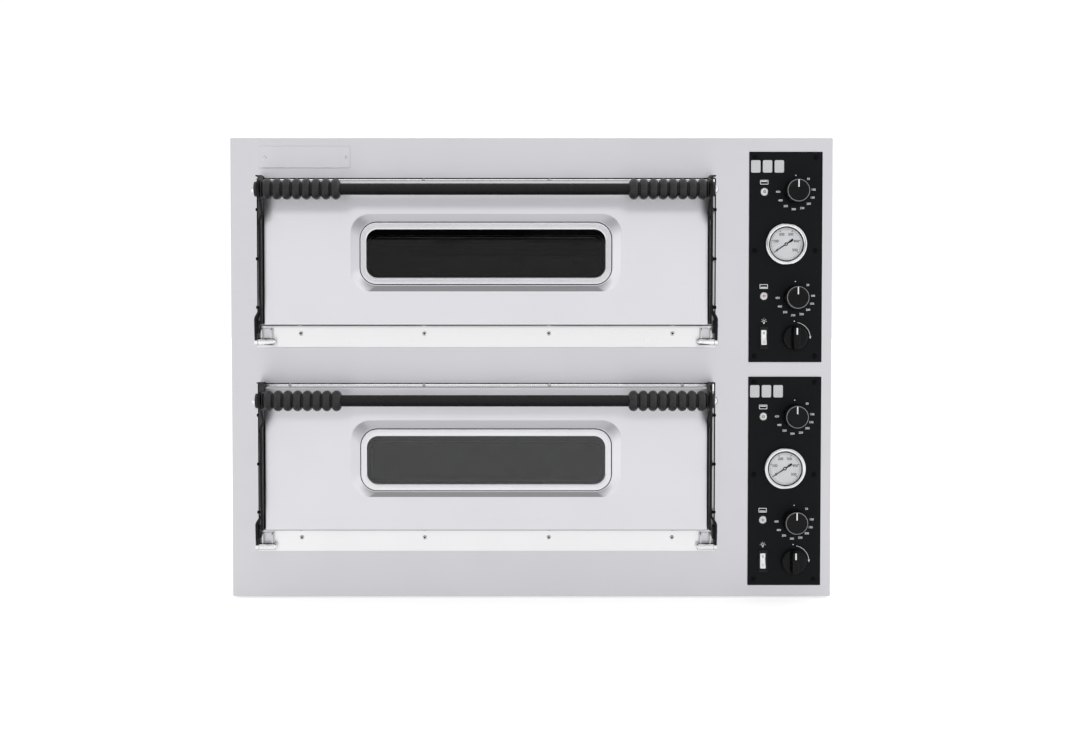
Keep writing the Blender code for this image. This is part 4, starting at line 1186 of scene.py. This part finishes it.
def door_back(deck):
    """Inner pressing with its plug, the window frame inside, and the screws round the rim."""
    half, bottom, top, radius = WINDOW
    body = deck + "_door"
    tunnel = (half - 0.0015, bottom + 0.001, top - 0.010, radius - 0.003)
    plug = (MOUTH_HALF - 0.004, MOUTH_Z[0] + 0.0025, MOUTH_Z[1] - 0.0040, 0.006)
    rim = (DOOR_HALF - 0.0005, DOOR_Z[0] + 0.0005, DOOR_Z[1] - 0.0005, 0.003)
    flat = -GAP - SHEET
    rows = [
        (tunnel, RING_OUT - 0.0076, 0.0), (tunnel, PLUG_OUT + 0.0010, 0.0),
        (tunnel, PLUG_OUT + 0.0003, 0.0003), (tunnel, PLUG_OUT, 0.0010),
        (plug, PLUG_OUT, -0.0012), (plug, PLUG_OUT + 0.0004, -0.0003), (plug, PLUG_OUT + 0.0012, 0.0),
        (plug, flat - 0.0012, 0.0012), (plug, flat - 0.0003, 0.0017), (plug, flat, 0.0024),
        (rim, flat, 0.0),
    ]
    bm = bmesh.new()
    loft(bm, [deck_loop(deck, shape, forward, 10, grow) for shape, forward, grow in rows])
    piece(f"{deck}_door_back", bm, PLUG_STEEL, body,
          [deck + "_door_inner"], sheet=0.0012, toward=(0, 1, 0), sharp=40)
    bm = bmesh.new()
    lines = [on_face(deck, tunnel, 8, grow) for grow in (0.013, -0.0015)]
    plate(bm, lines, 0.0010, placed(spot(0, PLUG_OUT - 0.0011, 0), FRONT), 0.0003)
    piece(f"{deck}_window_frame", bm, STEEL["lid"], body)
    spots = [(x, z) for x in (-0.1945, 0.1945) for z in (0.112, 0.161)]
    spots += [(x, z) for x in (-0.09, 0.09) for z in (0.0985, 0.1765)]
    bm = bmesh.new()
    for x, z in spots:
        pan_screw(bm, placed(on_deck(deck, x, PLUG_OUT - 0.0011, z), BACK), 0.0032, 0.0014)
    for x in (-0.30, -0.10, 0.10, 0.30):
        pan_screw(bm, placed(on_deck(deck, x, flat, 0.2200), BACK), 0.0036, 0.0005)
    piece(f"{deck}_door_back_screws", bm, ZINC, body, sharp=35)


def between(value, start, end):
    """0 up to start, 1 from end on, with a soft S between."""
    t = min(max((value - start) / (end - start), 0), 1)
    return t * t * (3 - 2 * t)


def lever_shift(forward, z):
    at_hinge = 1 - between(z, *LEVER_FOOT_BEND)
    at_bar = between(forward, *LEVER_ARM_BEND)
    return LEVER_X + LEVER_FOOT_STEP * at_hinge - LEVER_ARM_STEP * at_bar


def lever_outline():
    """The lever seen from the side, as (out, z)."""
    foot = [
        (HINGE_OUT + 0.005 * cos(radians(a)), 0.005 * sin(radians(a))) for a in range(180, 361, 15)
    ]
    shin = softened([foot[-1], (0.0205, 0.013), (0.0220, 0.035), (0.0350, 0.066),
                     (0.0360, 0.190), (0.0697, 0.2258)], 0.006, 4, closed=False)[1:-1]
    hub = [
        (BAR_OUT + LEVER_HUB_R * cos(radians(a)), BAR_Z + LEVER_HUB_R * sin(radians(a)))
        for a in range(-110, 101, 10)
    ]
    back = softened([hub[-1], (0.0300, LEVER_TOP), (0.0020, LEVER_TOP), (0.0020, 0.058),
                     (0.0045, 0.036), foot[0]], 0.0025, 3, closed=False)[1:-1]
    return foot + shin + hub + back


def lever(deck, side):
    word = SIDE_WORD[side]
    body = deck + "_door"
    bm = bmesh.new()
    bm.faces.new([bm.verts.new((0, forward, z)) for forward, z in lever_outline()])
    bends = [((0, 0, LEVER_FOOT_BEND[0] + 0.0022 * k), (0, 0, 1)) for k in range(11)]
    bends += [((0, LEVER_ARM_BEND[0] + 0.0015 * k, 0), (0, 1, 0)) for k in range(11)]
    for point, normal in bends:
        bmesh.ops.bisect_plane(
            bm, geom=bm.verts[:] + bm.edges[:] + bm.faces[:], plane_co=point, plane_no=normal
        )
    made = bmesh.ops.extrude_face_region(bm, geom=bm.faces[:])
    moved = [part for part in made["geom"] if isinstance(part, bmesh.types.BMVert)]
    bmesh.ops.translate(bm, vec=(LEVER_THICK, 0, 0), verts=moved)
    for vert in bm.verts:
        reach = side * (vert.co.x + lever_shift(vert.co.y, vert.co.z))
        vert.co = on_deck(deck, reach, vert.co.y, vert.co.z)
    piece(f"{deck}_{word}_lever_arm", bm, LEVER_BLACK, body,
          [f"{deck}_{word}_lever"], sharp=40, bevel=0.0005)
    turn = OUTWARD[side]
    start, end = EYE_SPAN
    eye = softened([(0.0031, end), (KNUCKLE_R, end), (KNUCKLE_R, start), (0.0031, start)], 0.0006, 3)
    bm = bmesh.new()
    turned(bm, eye, 40, placed(on_deck(deck, 0, HINGE_OUT, 0), turn), closed=True)
    piece(f"{deck}_{word}_lever_eye", bm, CHROME, body)
    lever_fixings(deck, side, word, turn)


def lever_fixings(deck, side, word, turn):
    body = deck + "_door"
    outer = LEVER_X + LEVER_THICK
    stations = [placed(on_deck(deck, side * outer, 0.0105, z), turn) for z in (0.213, 0.1337, 0.0555)]
    screws(f"{deck}_{word}_lever_bolts", hex_bolt, (0.0046, 0.0038, 0.0050), stations,
           SCREW_BLACK, body)
    bm = bmesh.new()
    pads = (
        (LEVER_X + 0.0074, LEVER_X + 0.0101, (0.0062, 0.0135), (0.0192, 0.0340)),
        (outer - 0.0006, outer + 0.0058, (0.0050, LEVER_TOP - 0.0018), (0.0290, LEVER_TOP)),
        (LEVER_X + 0.0002, LEVER_X + 0.0034, (0.0030, 0.0285), (0.0300, 0.0600)),
    )
    for start, end, low, high in pads:
        near, far = sorted((side * start, side * end))
        block(bm, on_deck(deck, near, *low), on_deck(deck, far, *high))
    piece(f"{deck}_{word}_lever_pads", bm, LEVER_BLACK, body, bevel=0.0005)
    foot = LEVER_X + LEVER_FOOT_STEP + LEVER_THICK
    place = placed(on_deck(deck, side * (foot - 0.0002), 0.0128, 0.0255), turn)
    screws(f"{deck}_{word}_foot_bolt", dome, (0.0042, 0.0022), [place], CHROME, body)
    bm = bmesh.new()
    disc = softened([(0, 0.0048), (0.01175, 0.0048), (0.01175, 0.0), (0, 0.0)], 0.0011, 3, closed=False)
    hub = placed(on_deck(deck, side * 0.3558, BAR_OUT, BAR_Z), turn)
    turned(bm, disc, 48, hub)
    piece(f"{deck}_{word}_end_disc", bm, GRIP_BLACK_PAINTED_TOP_LIGHT, body)
    place = placed(on_deck(deck, side * 0.3605, BAR_OUT, BAR_Z), turn)
    screws(f"{deck}_{word}_cap_nut", dome, (0.0070, 0.0056), [place], CHROME, body, sharp=60)


def bar(deck):
    end = BAR_HALF + 0.0050
    profile = softened([(0, end), (0.004, end), (0.004, BAR_HALF), (BAR_R, BAR_HALF),
                        (BAR_R, -BAR_HALF), (0.004, -BAR_HALF), (0.004, -end), (0, -end)],
                       0.0005, 2, closed=False)
    bm = bmesh.new()
    turned(bm, profile, 48, placed(on_deck(deck, 0, BAR_OUT, BAR_Z), RIGHT))
    piece(f"{deck}_bar", bm, BAR_BLACK_PAINTED_TOP_LIGHT, deck + "_door", [deck + "_handle_bar"])


def grip(deck, side):
    """Ribbed sleeve: full round ribs with narrow valleys, and a plain collar at the lever."""
    word = SIDE_WORD[side]
    pitch = (GRIP_END - 0.0016 - GRIP_IN) / GRIP_RIBS
    bore = BAR_R + 0.0002
    valley = GRIP_VALLEY_R - 0.0020
    profile = [(bore, GRIP_END), (0.0136, GRIP_END), (0.0142, GRIP_END - 0.0006),
               (0.0142, GRIP_END - 0.0012)]
    for rib in range(GRIP_RIBS):
        start = GRIP_END - 0.0016 - rib * pitch
        for step in range(13):
            t = step / 6 - 1
            radius = valley + (GRIP_R - valley) * (1 - t * t) ** 0.72
            profile.append((radius, start - pitch * (step / 12) * 0.96 - pitch * 0.02))
    profile += [(valley - 0.0004, GRIP_IN), (bore, GRIP_IN)]
    bm = bmesh.new()
    turn = OUTWARD[side]
    turned(bm, profile, 64, placed(on_deck(deck, 0, BAR_OUT, BAR_Z), turn), closed=True)
    piece(f"{deck}_{word}_ribbed_grip", bm, GRIP_BLACK_PAINTED_TOP_LIGHT, deck + "_door",
          [f"{deck}_{word}_grip"], sharp=50)


# ---------------------------------------------------------------- control panels


def control_plate(deck):
    wide, tall = CONTROL_HALF
    outlines = [rounded((wide, -tall, tall, 0.0008), 3)]
    for x, z in (*THERMOSTATS.values(), *LAMPS.values(), SELECTOR):
        outlines.append(oval((x, z), 0.010, 0.010))
    outlines.append(oval(GAUGE, 0.061, 0.061, 48))
    outlines.append(shifted(rounded((0.0060, -0.0165, 0.0165, 0.001), 3), *ROCKER))
    bm = bmesh.new()
    plate(bm, outlines, CONTROL_OUT[1] - CONTROL_OUT[0],
          placed(on_panel(deck, (0, 0), CONTROL_OUT[0]), FRONT), 0.0003)
    piece(f"{deck}_control_plate", bm, CONTROL_BLACK,
          stands_for=[deck + "_control_panel"])
    corners = [placed(on_panel(deck, (x, z), CONTROL_OUT[1]), FRONT)
               for x in (-0.0498, 0.0485) for z in (0.1610, 0.0102, -0.1605)]
    screws(f"{deck}_control_screws", pan_screw, (0.0042, 0.0018), corners, SCREW_BLACK)


def printed_marks(deck):
    """Scales, lamp signs, switch arrow and three plain bars, printed on the plate."""
    face = CONTROL_OUT[1]
    bm = bmesh.new()

    def flat(outlines):
        plate(bm, outlines, 0.0001, placed(on_panel(deck, (0, 0), face), FRONT), 0.00002)

    for level in ("top", "bottom"):
        x, z = THERMOSTATS[level]
        flat([oval((x, z + 0.0262), 0.0018, 0.0018, 16)])
        marks = ((50, 45), (100, 84), (150, 110), (200, 133.5), (250, 159),
                 (300, 187), (350, 215), (400, 240), (450, 269))
        for number, degrees in marks:
            a = radians(degrees)
            place = on_panel(deck, (x + 0.0287 * sin(a), z + 0.0287 * cos(a)), face + 0.00005)
            lettering(bm, str(number), 0.0047, placed(place, FRONT), offset=0.00007)
        sign = LAMPS[level][0] - 0.0002, LAMPS[level][1] + 0.0155
        flat([shifted(rounded(shape, 3), *sign)
              for shape in ((0.0066, -0.0036, 0.0036, 0.0009), (0.0057, -0.0027, 0.0027, 0.0003))])
        row = 0.0013 if level == "top" else -0.0013
        flat([shifted(rounded((0.0048, -0.0007, 0.0007, 0.0003), 2), sign[0], sign[1] + row)])
    switch_sign(flat)
    selector_arc(flat)
    piece(f"{deck}_printed_marks", bm, PRINT_WHITE, sharp=60)
    bm = bmesh.new()
    for column in range(3):
        centre = -0.0490 + column * 0.0190
        flat([shifted(rounded((0.0076, -0.0100, 0.0100, 0.0022), 4), centre, 0.1465)])
    piece(f"{deck}_printed_bars", bm, PRINT_GREY, sharp=60)


def switch_sign(flat):
    """A small lamp sign over the rocker: round bulb, neck and rays."""
    x, z = ROCKER[0], -0.1045
    flat([oval((x, z + 0.0006), 0.0044, 0.0044), oval((x, z + 0.0006), 0.0030, 0.0030)])
    flat([shifted(rounded((0.0010, -0.0008, 0.0008, 0.0003), 2), x, z - 0.0026)])
    for degrees in (-90, -45, 0, 45, 90):
        a = radians(degrees)
        start, end, half = 0.0033, 0.0047, 0.00028
        across = (cos(a) * half, -sin(a) * half)
        near = (x + sin(a) * start, z + 0.0006 + cos(a) * start)
        far = (x + sin(a) * end, z + 0.0006 + cos(a) * end)
        flat([[(near[0] - across[0], near[1] - across[1]), (far[0] - across[0], far[1] - across[1]),
               (far[0] + across[0], far[1] + across[1]), (near[0] + across[0], near[1] + across[1])]])


def selector_arc(flat):
    x, z = SELECTOR
    flat([oval((x - 0.0008, z + 0.0268), 0.0020, 0.0020, 16)])
    outer, inner = [], []
    for step in range(17):
        a = radians(10 + 76 * step / 16)
        outer.append((x + 0.0254 * sin(a), z + 0.0254 * cos(a)))
        inner.append((x + 0.0247 * sin(a), z + 0.0247 * cos(a)))
    flat([outer + inner[::-1]])
    flat([[(x + 0.0235, z + 0.0020), (x + 0.0268, z + 0.0026), (x + 0.0251, z - 0.0020)]])


def knob(deck, level):
    """Thermostat knob: fluted side, dished top, and a white pointer line."""
    name = f"{deck}_{level}_thermostat_knob"
    place = on_panel(deck, THERMOSTATS[level])
    outline = [(0, 0.0284), (0.0140, 0.0284), (0.0156, 0.0290), (0.0168, 0.0290), (0.0179, 0.0279),
               (0.0188, 0.0092), (0.0198, 0.0082), (KNOB_R, 0.0076), (KNOB_R, 0.0036),
               (0.0192, 0.0030), (0.0032, 0.0030), (0.0032, -0.0200), (0, -0.0200)]
    profile = softened(outline, 0.0007, 2, closed=False)
    bm = bmesh.new()
    turned(bm, profile, 144, placed(place, FRONT))
    for vert in bm.verts:
        forward = FRONT_Y - vert.co.y
        dx, dz = vert.co.x - place.x, vert.co.z - place.z
        radius = hypot(dx, dz)
        if 0.0105 < forward < 0.0272 and radius > 0.015:
            cut = 0.00045 * max(cos(36 * atan2(dz, dx)), -0.3)
            vert.co.x -= dx / radius * cut
            vert.co.z -= dz / radius * cut
    piece(name + "_cap", bm, KNOB_BLACK, name, [name], sharp=35)
    # lighter ring on the rim: painted highlight of the chamfer
    bm = bmesh.new()
    edge = [(0.0168, 0.0289), (0.0170, 0.0292), (0.0177, 0.0285), (0.0180, 0.0276), (0.0176, 0.0276)]
    turned(bm, edge, 72, placed(place, FRONT), closed=True)
    piece(name + "_edge", bm, KNOB_EDGE_HIGHLIGHT, name)
    bm = bmesh.new()
    top = placed(place + Vector((0, -0.0286, 0)), FRONT)
    plate(bm, [rounded((0.0010, 0.0050, 0.0170, 0.0005), 3)], 0.0006, top, 0.0001)
    piece(name + "_line", bm, PRINT_WHITE, name)


def selector(deck):
    """Selector knob: skirted disc with a tapered finger bar and a white pointer."""
    name = deck + "_selector_knob"
    place = on_panel(deck, SELECTOR)
    outline = [(0, 0.0120), (0.0172, 0.0120), (0.0180, 0.0114), (0.0190, 0.0112), (KNOB_R, 0.0098),
               (KNOB_R, 0.0036), (0.0032, 0.0032), (0.0032, -0.0200), (0, -0.0200)]
    bm = bmesh.new()
    turned(bm, softened(outline, 0.0006, 2, closed=False), 96, placed(place, FRONT))
    rows = ((0.0075, 0.0186, 0.0110), (0.0064, 0.0183, 0.0170), (0.0054, 0.0179, 0.0225),
            (0.0048, 0.0174, 0.0238), (0.0040, 0.0166, 0.0244))
    loops = [
        [place + Vector((x, -forward, z)) for x, z in rounded((wide, -long, long, wide * 0.55), 6)]
        for wide, long, forward in rows
    ]
    loft(bm, loops, cap_first=True, cap_last=True)
    piece(name + "_cap", bm, KNOB_BLACK, name, [name], sharp=40)
    bm = bmesh.new()
    top = placed(place + Vector((0, -0.0241, 0)), FRONT)
    plate(bm, [rounded((0.0012, 0.0052, 0.0158, 0.0005), 3)], 0.0005, top, 0.0001)
    piece(name + "_line", bm, PRINT_WHITE, name)


def gauge(deck):
    """Thermometer: chrome bezel, white dial with a 0 to 500 scale, and its cover."""
    place = on_panel(deck, GAUGE)
    outline = [(0.0276, 0.0052), (0.0276, 0.0088), (0.0290, 0.0103), (0.0312, 0.0105),
               (0.0332, 0.0094), (GAUGE_R, 0.0076), (GAUGE_R, 0.0025), (0.0300, 0.0025),
               (0.0300, -0.0250), (0.0270, -0.0250)]
    bm = bmesh.new()
    turned(bm, softened(outline, 0.0008, 3), 96, placed(place, FRONT), closed=True)
    piece(f"{deck}_gauge_bezel", bm, BEZEL, stands_for=[deck + "_gauge"])
    bm = bmesh.new()
    face = softened([(0, 0.0055), (0.0262, 0.0055), (0.0276, 0.0066), (0.0276, 0.0030), (0, 0.0030)],
                    0.0005, 2, closed=False)
    turned(bm, face, 72, placed(place, FRONT))
    piece(f"{deck}_gauge_dial", bm, DIAL)
    seal = [(0.0264, 0.0089), (0.0274, 0.0092), (0.0280, 0.0086), (0.0266, 0.0084)]
    ring_piece(f"{deck}_gauge_seal", seal, (0.0002, 2), 72, placed(place, FRONT), SEAL_AND_SHADE_BLACK)
    bm = bmesh.new()
    pane = [(0, 0.0088), (0.0140, 0.0087), (0.0278, 0.0082),
            (0.0278, 0.0074), (0.0140, 0.0078), (0, 0.0079)]
    turned(bm, pane, 72, placed(place, FRONT))
    cover = piece(f"{deck}_gauge_cover", bm, COVER)
    cover.visible_shadow = False
    gauge_scale(deck, place)
    gauge_needle(deck, place)


def gauge_scale(deck, place):
    bm = bmesh.new()
    for tick in range(51):
        turn = NEEDLE_REST + NEEDLE_SWEEP * tick / 50
        long = 0.0030 if tick % 10 == 0 else 0.0020 if tick % 5 == 0 else 0.0012
        wide = 0.00045 if tick % 10 == 0 else 0.00018
        outer = 0.0245
        line = [(-wide, outer - long), (wide, outer - long), (wide, outer), (-wide, outer)]
        spun = [(x * cos(turn) + z * sin(turn), z * cos(turn) - x * sin(turn)) for x, z in line]
        plate(bm, [spun], 0.0001, placed(place + Vector((0, -0.0055, 0)), FRONT), 0.00001)
    for number in range(0, 501, 100):
        a = NEEDLE_REST + NEEDLE_SWEEP * number / 500
        spot_at = place + Vector((0.0172 * sin(a), -0.00555, 0.0172 * cos(a)))
        lettering(bm, str(number), 0.0060, placed(spot_at, FRONT), offset=0.00011)
    piece(f"{deck}_gauge_scale", bm, PRINT_BLACK, sharp=60)


def gauge_needle(deck, place):
    name = deck + "_gauge_needle"
    bm = bmesh.new()
    right = [(0.0005, 0.0230), (0.0009, 0.0030), (0.0010, -0.0050), (0.0017, -0.0080), (0.0017, -0.0135)]
    outline = right + [(-a, b) for a, b in reversed(right)]
    spin = placed(place + Vector((0, -0.0060, 0)), FRONT) @ Matrix.Rotation(-NEEDLE_REST, 4, "Z")
    plate(bm, [softened(outline, 0.0003, 2)], 0.0005, spin, 0.0001)
    hub = [(0, 0.0067), (0.0020, 0.0067), (0.0027, 0.0064), (0.0028, 0.0058), (0, 0.0058)]
    turned(bm, hub, 40, placed(place, FRONT))
    piece(name + "_pointer", bm, SCREW_BLACK, name, [name], sharp=40)
    rivet = placed(place + Vector((0, -0.0066, 0)), FRONT)
    screws(name + "_rivet", dome, (0.0013, 0.0005), [rivet], body=name)


def rocker(deck):
    """Rocker switch: white key with a shallow V front in a black bezel."""
    name = deck + "_rocker"
    place = on_panel(deck, ROCKER)
    pivot = placed(place + Vector((0, -0.001, 0)), Matrix.Rotation(-ROCKER_TILT, 4, "X"))
    outline = [(0.0035, 0.0123), (0.0030, 0.0100), (0.0013, 0.0), (0.0030, -0.0100),
               (0.0035, -0.0123), (-0.0040, -0.0110), (-0.0040, 0.0110)]
    line = softened(outline, 0.0008, 3)
    bm = bmesh.new()
    loops = []
    for x, shrink in ((-0.0044, 0.0004), (-0.0041, 0.0), (0.0041, 0.0), (0.0044, 0.0004)):
        loops.append([
            pivot @ Vector((x, -(forward - shrink * (1 if forward > 0 else -1)),
                            z * (1 - shrink / 0.0123))) for forward, z in line
        ])
    loft(bm, loops, cap_first=True, cap_last=True)
    piece(name + "_key", bm, ROCKER_WHITE, name, [name], sharp=50)
    bm = bmesh.new()
    for sign, z in (("0", 0.0070), ("I", -0.0070)):
        lean = Matrix.Rotation(0.17 if z > 0 else -0.17, 4, "X")
        at = pivot @ Matrix.Translation((0, -0.00255, z)) @ lean @ FRONT
        lettering(bm, sign, 0.0062, at, 0.0003)
    piece(name + "_marks", bm, PRINT_BLACK, name, sharp=60)
    bm = bmesh.new()
    outer = rounded((0.0072, -0.0182, 0.0182, 0.0014), 4)
    inner = rounded((0.0048, -0.0134, 0.0134, 0.0006), 4)
    plate(bm, [outer, inner], 0.0020, placed(place + Vector((0, -CONTROL_OUT[1], 0)), FRONT), 0.0006)
    piece(name + "_bezel", bm, SWITCH_BLACK)


def lamp(deck, level):
    """Indicator lamp: ringed lens in a thin chrome rim."""
    place = on_panel(deck, LAMPS[level])
    rings = [(0, 0.0060)]
    for ring in range(4):
        radius = 0.0010 + ring * 0.0011
        height = 0.0060 - 0.00035 * ring ** 1.5
        rings += [(radius, height - 0.00025), (radius + 0.0003, height - 0.00025),
                  (radius + 0.0006, height + 0.00005)]
    rings += [(0.0052, 0.0040), (0.0055, 0.0026), (0.0044, 0.0024), (0.0044, -0.0150), (0, -0.0150)]
    bm = bmesh.new()
    turned(bm, rings, 48, placed(place, FRONT))
    name = f"{deck}_{level}_lamp"
    piece(name + "_lens", bm, LENS, stands_for=[name], sharp=25)
    core = [(0.0012, 0.0058), (0.0012, 0.0062), (0.0021, 0.0062), (0.0021, 0.0058)]
    ring_piece(name + "_core", core, (0.0001, 1), 32, placed(place, FRONT), RUBBER)
    rim = [(0.0056, 0.0023), (0.0056, 0.0042), (0.0065, 0.0034), (0.0066, 0.0023)]
    ring_piece(name + "_rim", rim, (0.0004, 2), 48, placed(place, FRONT), BEZEL)


# ---------------------------------------------------------------- stage


def area_light(name, place, target, size, power):
    light = bpy.data.lights.new(name, "AREA")
    light.shape = "RECTANGLE"
    light.size, light.size_y = size
    light.energy = power
    obj = bpy.data.objects.new(name, light)
    obj.location = place
    obj.rotation_euler = (Vector(target) - Vector(place)).to_track_quat("-Z", "Y").to_euler()
    bpy.context.scene.collection.objects.link(obj)


CAMERA_DISTANCE = 2.300  # from the front panel's face
CAMERA_HEIGHT = 0.447
CAMERA_DIP = 1.744  # degrees below level


def studio_world():
    """Pale surroundings: dimmer behind the camera and overhead, brighter to the right, with a
    darker patch of room low behind the camera, which the door panes mirror."""
    world = bpy.data.worlds.new("studio")
    world.use_nodes = True
    tree = world.node_tree
    back = tree.nodes["Background"]
    coords = tree.nodes.new("ShaderNodeTexCoord").outputs["Generated"]
    parts = tree.nodes.new("ShaderNodeSeparateXYZ")
    tree.links.new(coords, parts.inputs["Vector"])

    def step(source, low, high, start, end):
        made = tree.nodes.new("ShaderNodeMapRange")
        made.interpolation_type = "SMOOTHSTEP"
        tree.links.new(source, made.inputs["Value"])
        for key, value in zip(("From Min", "From Max", "To Min", "To Max"), (low, high, start, end)):
            made.inputs[key].default_value = value
        return made.outputs["Result"]

    def product(a, b):
        made = tree.nodes.new("ShaderNodeMath")
        made.operation = "MULTIPLY"
        tree.links.new(a, made.inputs[0])
        tree.links.new(b, made.inputs[1])
        return made.outputs["Value"]

    sky = product(step(parts.outputs["Z"], 0.25, 1.0, 1.03, 0.88),
                  step(parts.outputs["Y"], -0.88, -0.50, 0.56, 1.0))
    sides = step(parts.outputs["X"], -0.9, -0.37, 0.75, 1.0)
    sides = product(sides, step(parts.outputs["X"], 0.37, 0.9, 1.0, 1.25))
    ahead = step(parts.outputs["Y"], -0.985, -0.975, 1.0, 0.0)
    ahead = product(ahead, step(parts.outputs["Z"], 0.078, 0.092, 1.0, 0.0))
    dim = step(product(ahead, step(parts.outputs["Z"], 0.017, 0.028, 0.0, 1.0)), 0.0, 1.0, 1.0, 0.62)
    dark = step(product(ahead, step(parts.outputs["Z"], 0.0585, 0.0600, 0.0, 1.0)), 0.0, 1.0, 1.0, 0.05)
    tree.links.new(product(product(sky, sides), product(dim, dark)), back.inputs["Strength"])
    back.inputs["Color"].default_value = (1, 1, 1, 1)
    return world


def stage():
    bm = bmesh.new()
    bmesh.ops.create_circle(bm, cap_ends=True, segments=96, radius=45.0)
    mesh = bpy.data.meshes.new("floor")
    bm.to_mesh(mesh)
    bm.free()
    look = Look("floor_pale", (0.95, 0.95, 0.95), 0.85, Emission_Strength=0.42,
                Emission_Color=(1, 1, 1, 1))
    look.roughness(look.ramp(look.noise(4.0, 3), 0.3, 0.7, 0.8, 0.9))
    mesh.materials.append(look.material)
    floor = bpy.data.objects.new("floor", mesh)
    floor.location = (0, 0, -0.0002)
    bpy.context.scene.collection.objects.link(floor)

    scene = bpy.context.scene
    scene.view_settings.view_transform = "Standard"
    scene.world = studio_world()
    area_light("key", (0, -12, 3.9), (0, -0.37, 0.40), (11, 1.6), 105)

    view = bpy.data.cameras.new("camera")
    view.lens = 47.81
    view.sensor_width = 36
    view.clip_start, view.clip_end = 0.05, 60
    camera = bpy.data.objects.new("camera", view)
    camera.location = (0.0009, FRONT_Y - CAMERA_DISTANCE, CAMERA_HEIGHT)
    camera.rotation_euler = (radians(90 - CAMERA_DIP), 0, radians(-0.033))
    scene.collection.objects.link(camera)
    scene.camera = camera


# ---------------------------------------------------------------- build


front_sheet()
name_plate()
side_sheet("left_side_panel", -1)
side_sheet("right_side_panel", 1)
lid()
rear_sheet()
feet()
gland()
carried_nodes()
for deck_name in DECKS:
    chamber(deck_name)
    stone(deck_name)
    element(deck_name, "bottom")
    element(deck_name, "top")
    chamber_fittings(deck_name)
    sill(deck_name)
    lintel(deck_name)
    door_skin(deck_name)
    door_pane(deck_name)
    door_back(deck_name)
    bar(deck_name)
    for way in (-1, 1):
        hinge(deck_name, way)
        lever(deck_name, way)
        grip(deck_name, way)
    control_plate(deck_name)
    printed_marks(deck_name)
    gauge(deck_name)
    selector(deck_name)
    rocker(deck_name)
    for level_name in ("top", "bottom"):
        knob(deck_name, level_name)
        lamp(deck_name, level_name)
stage()
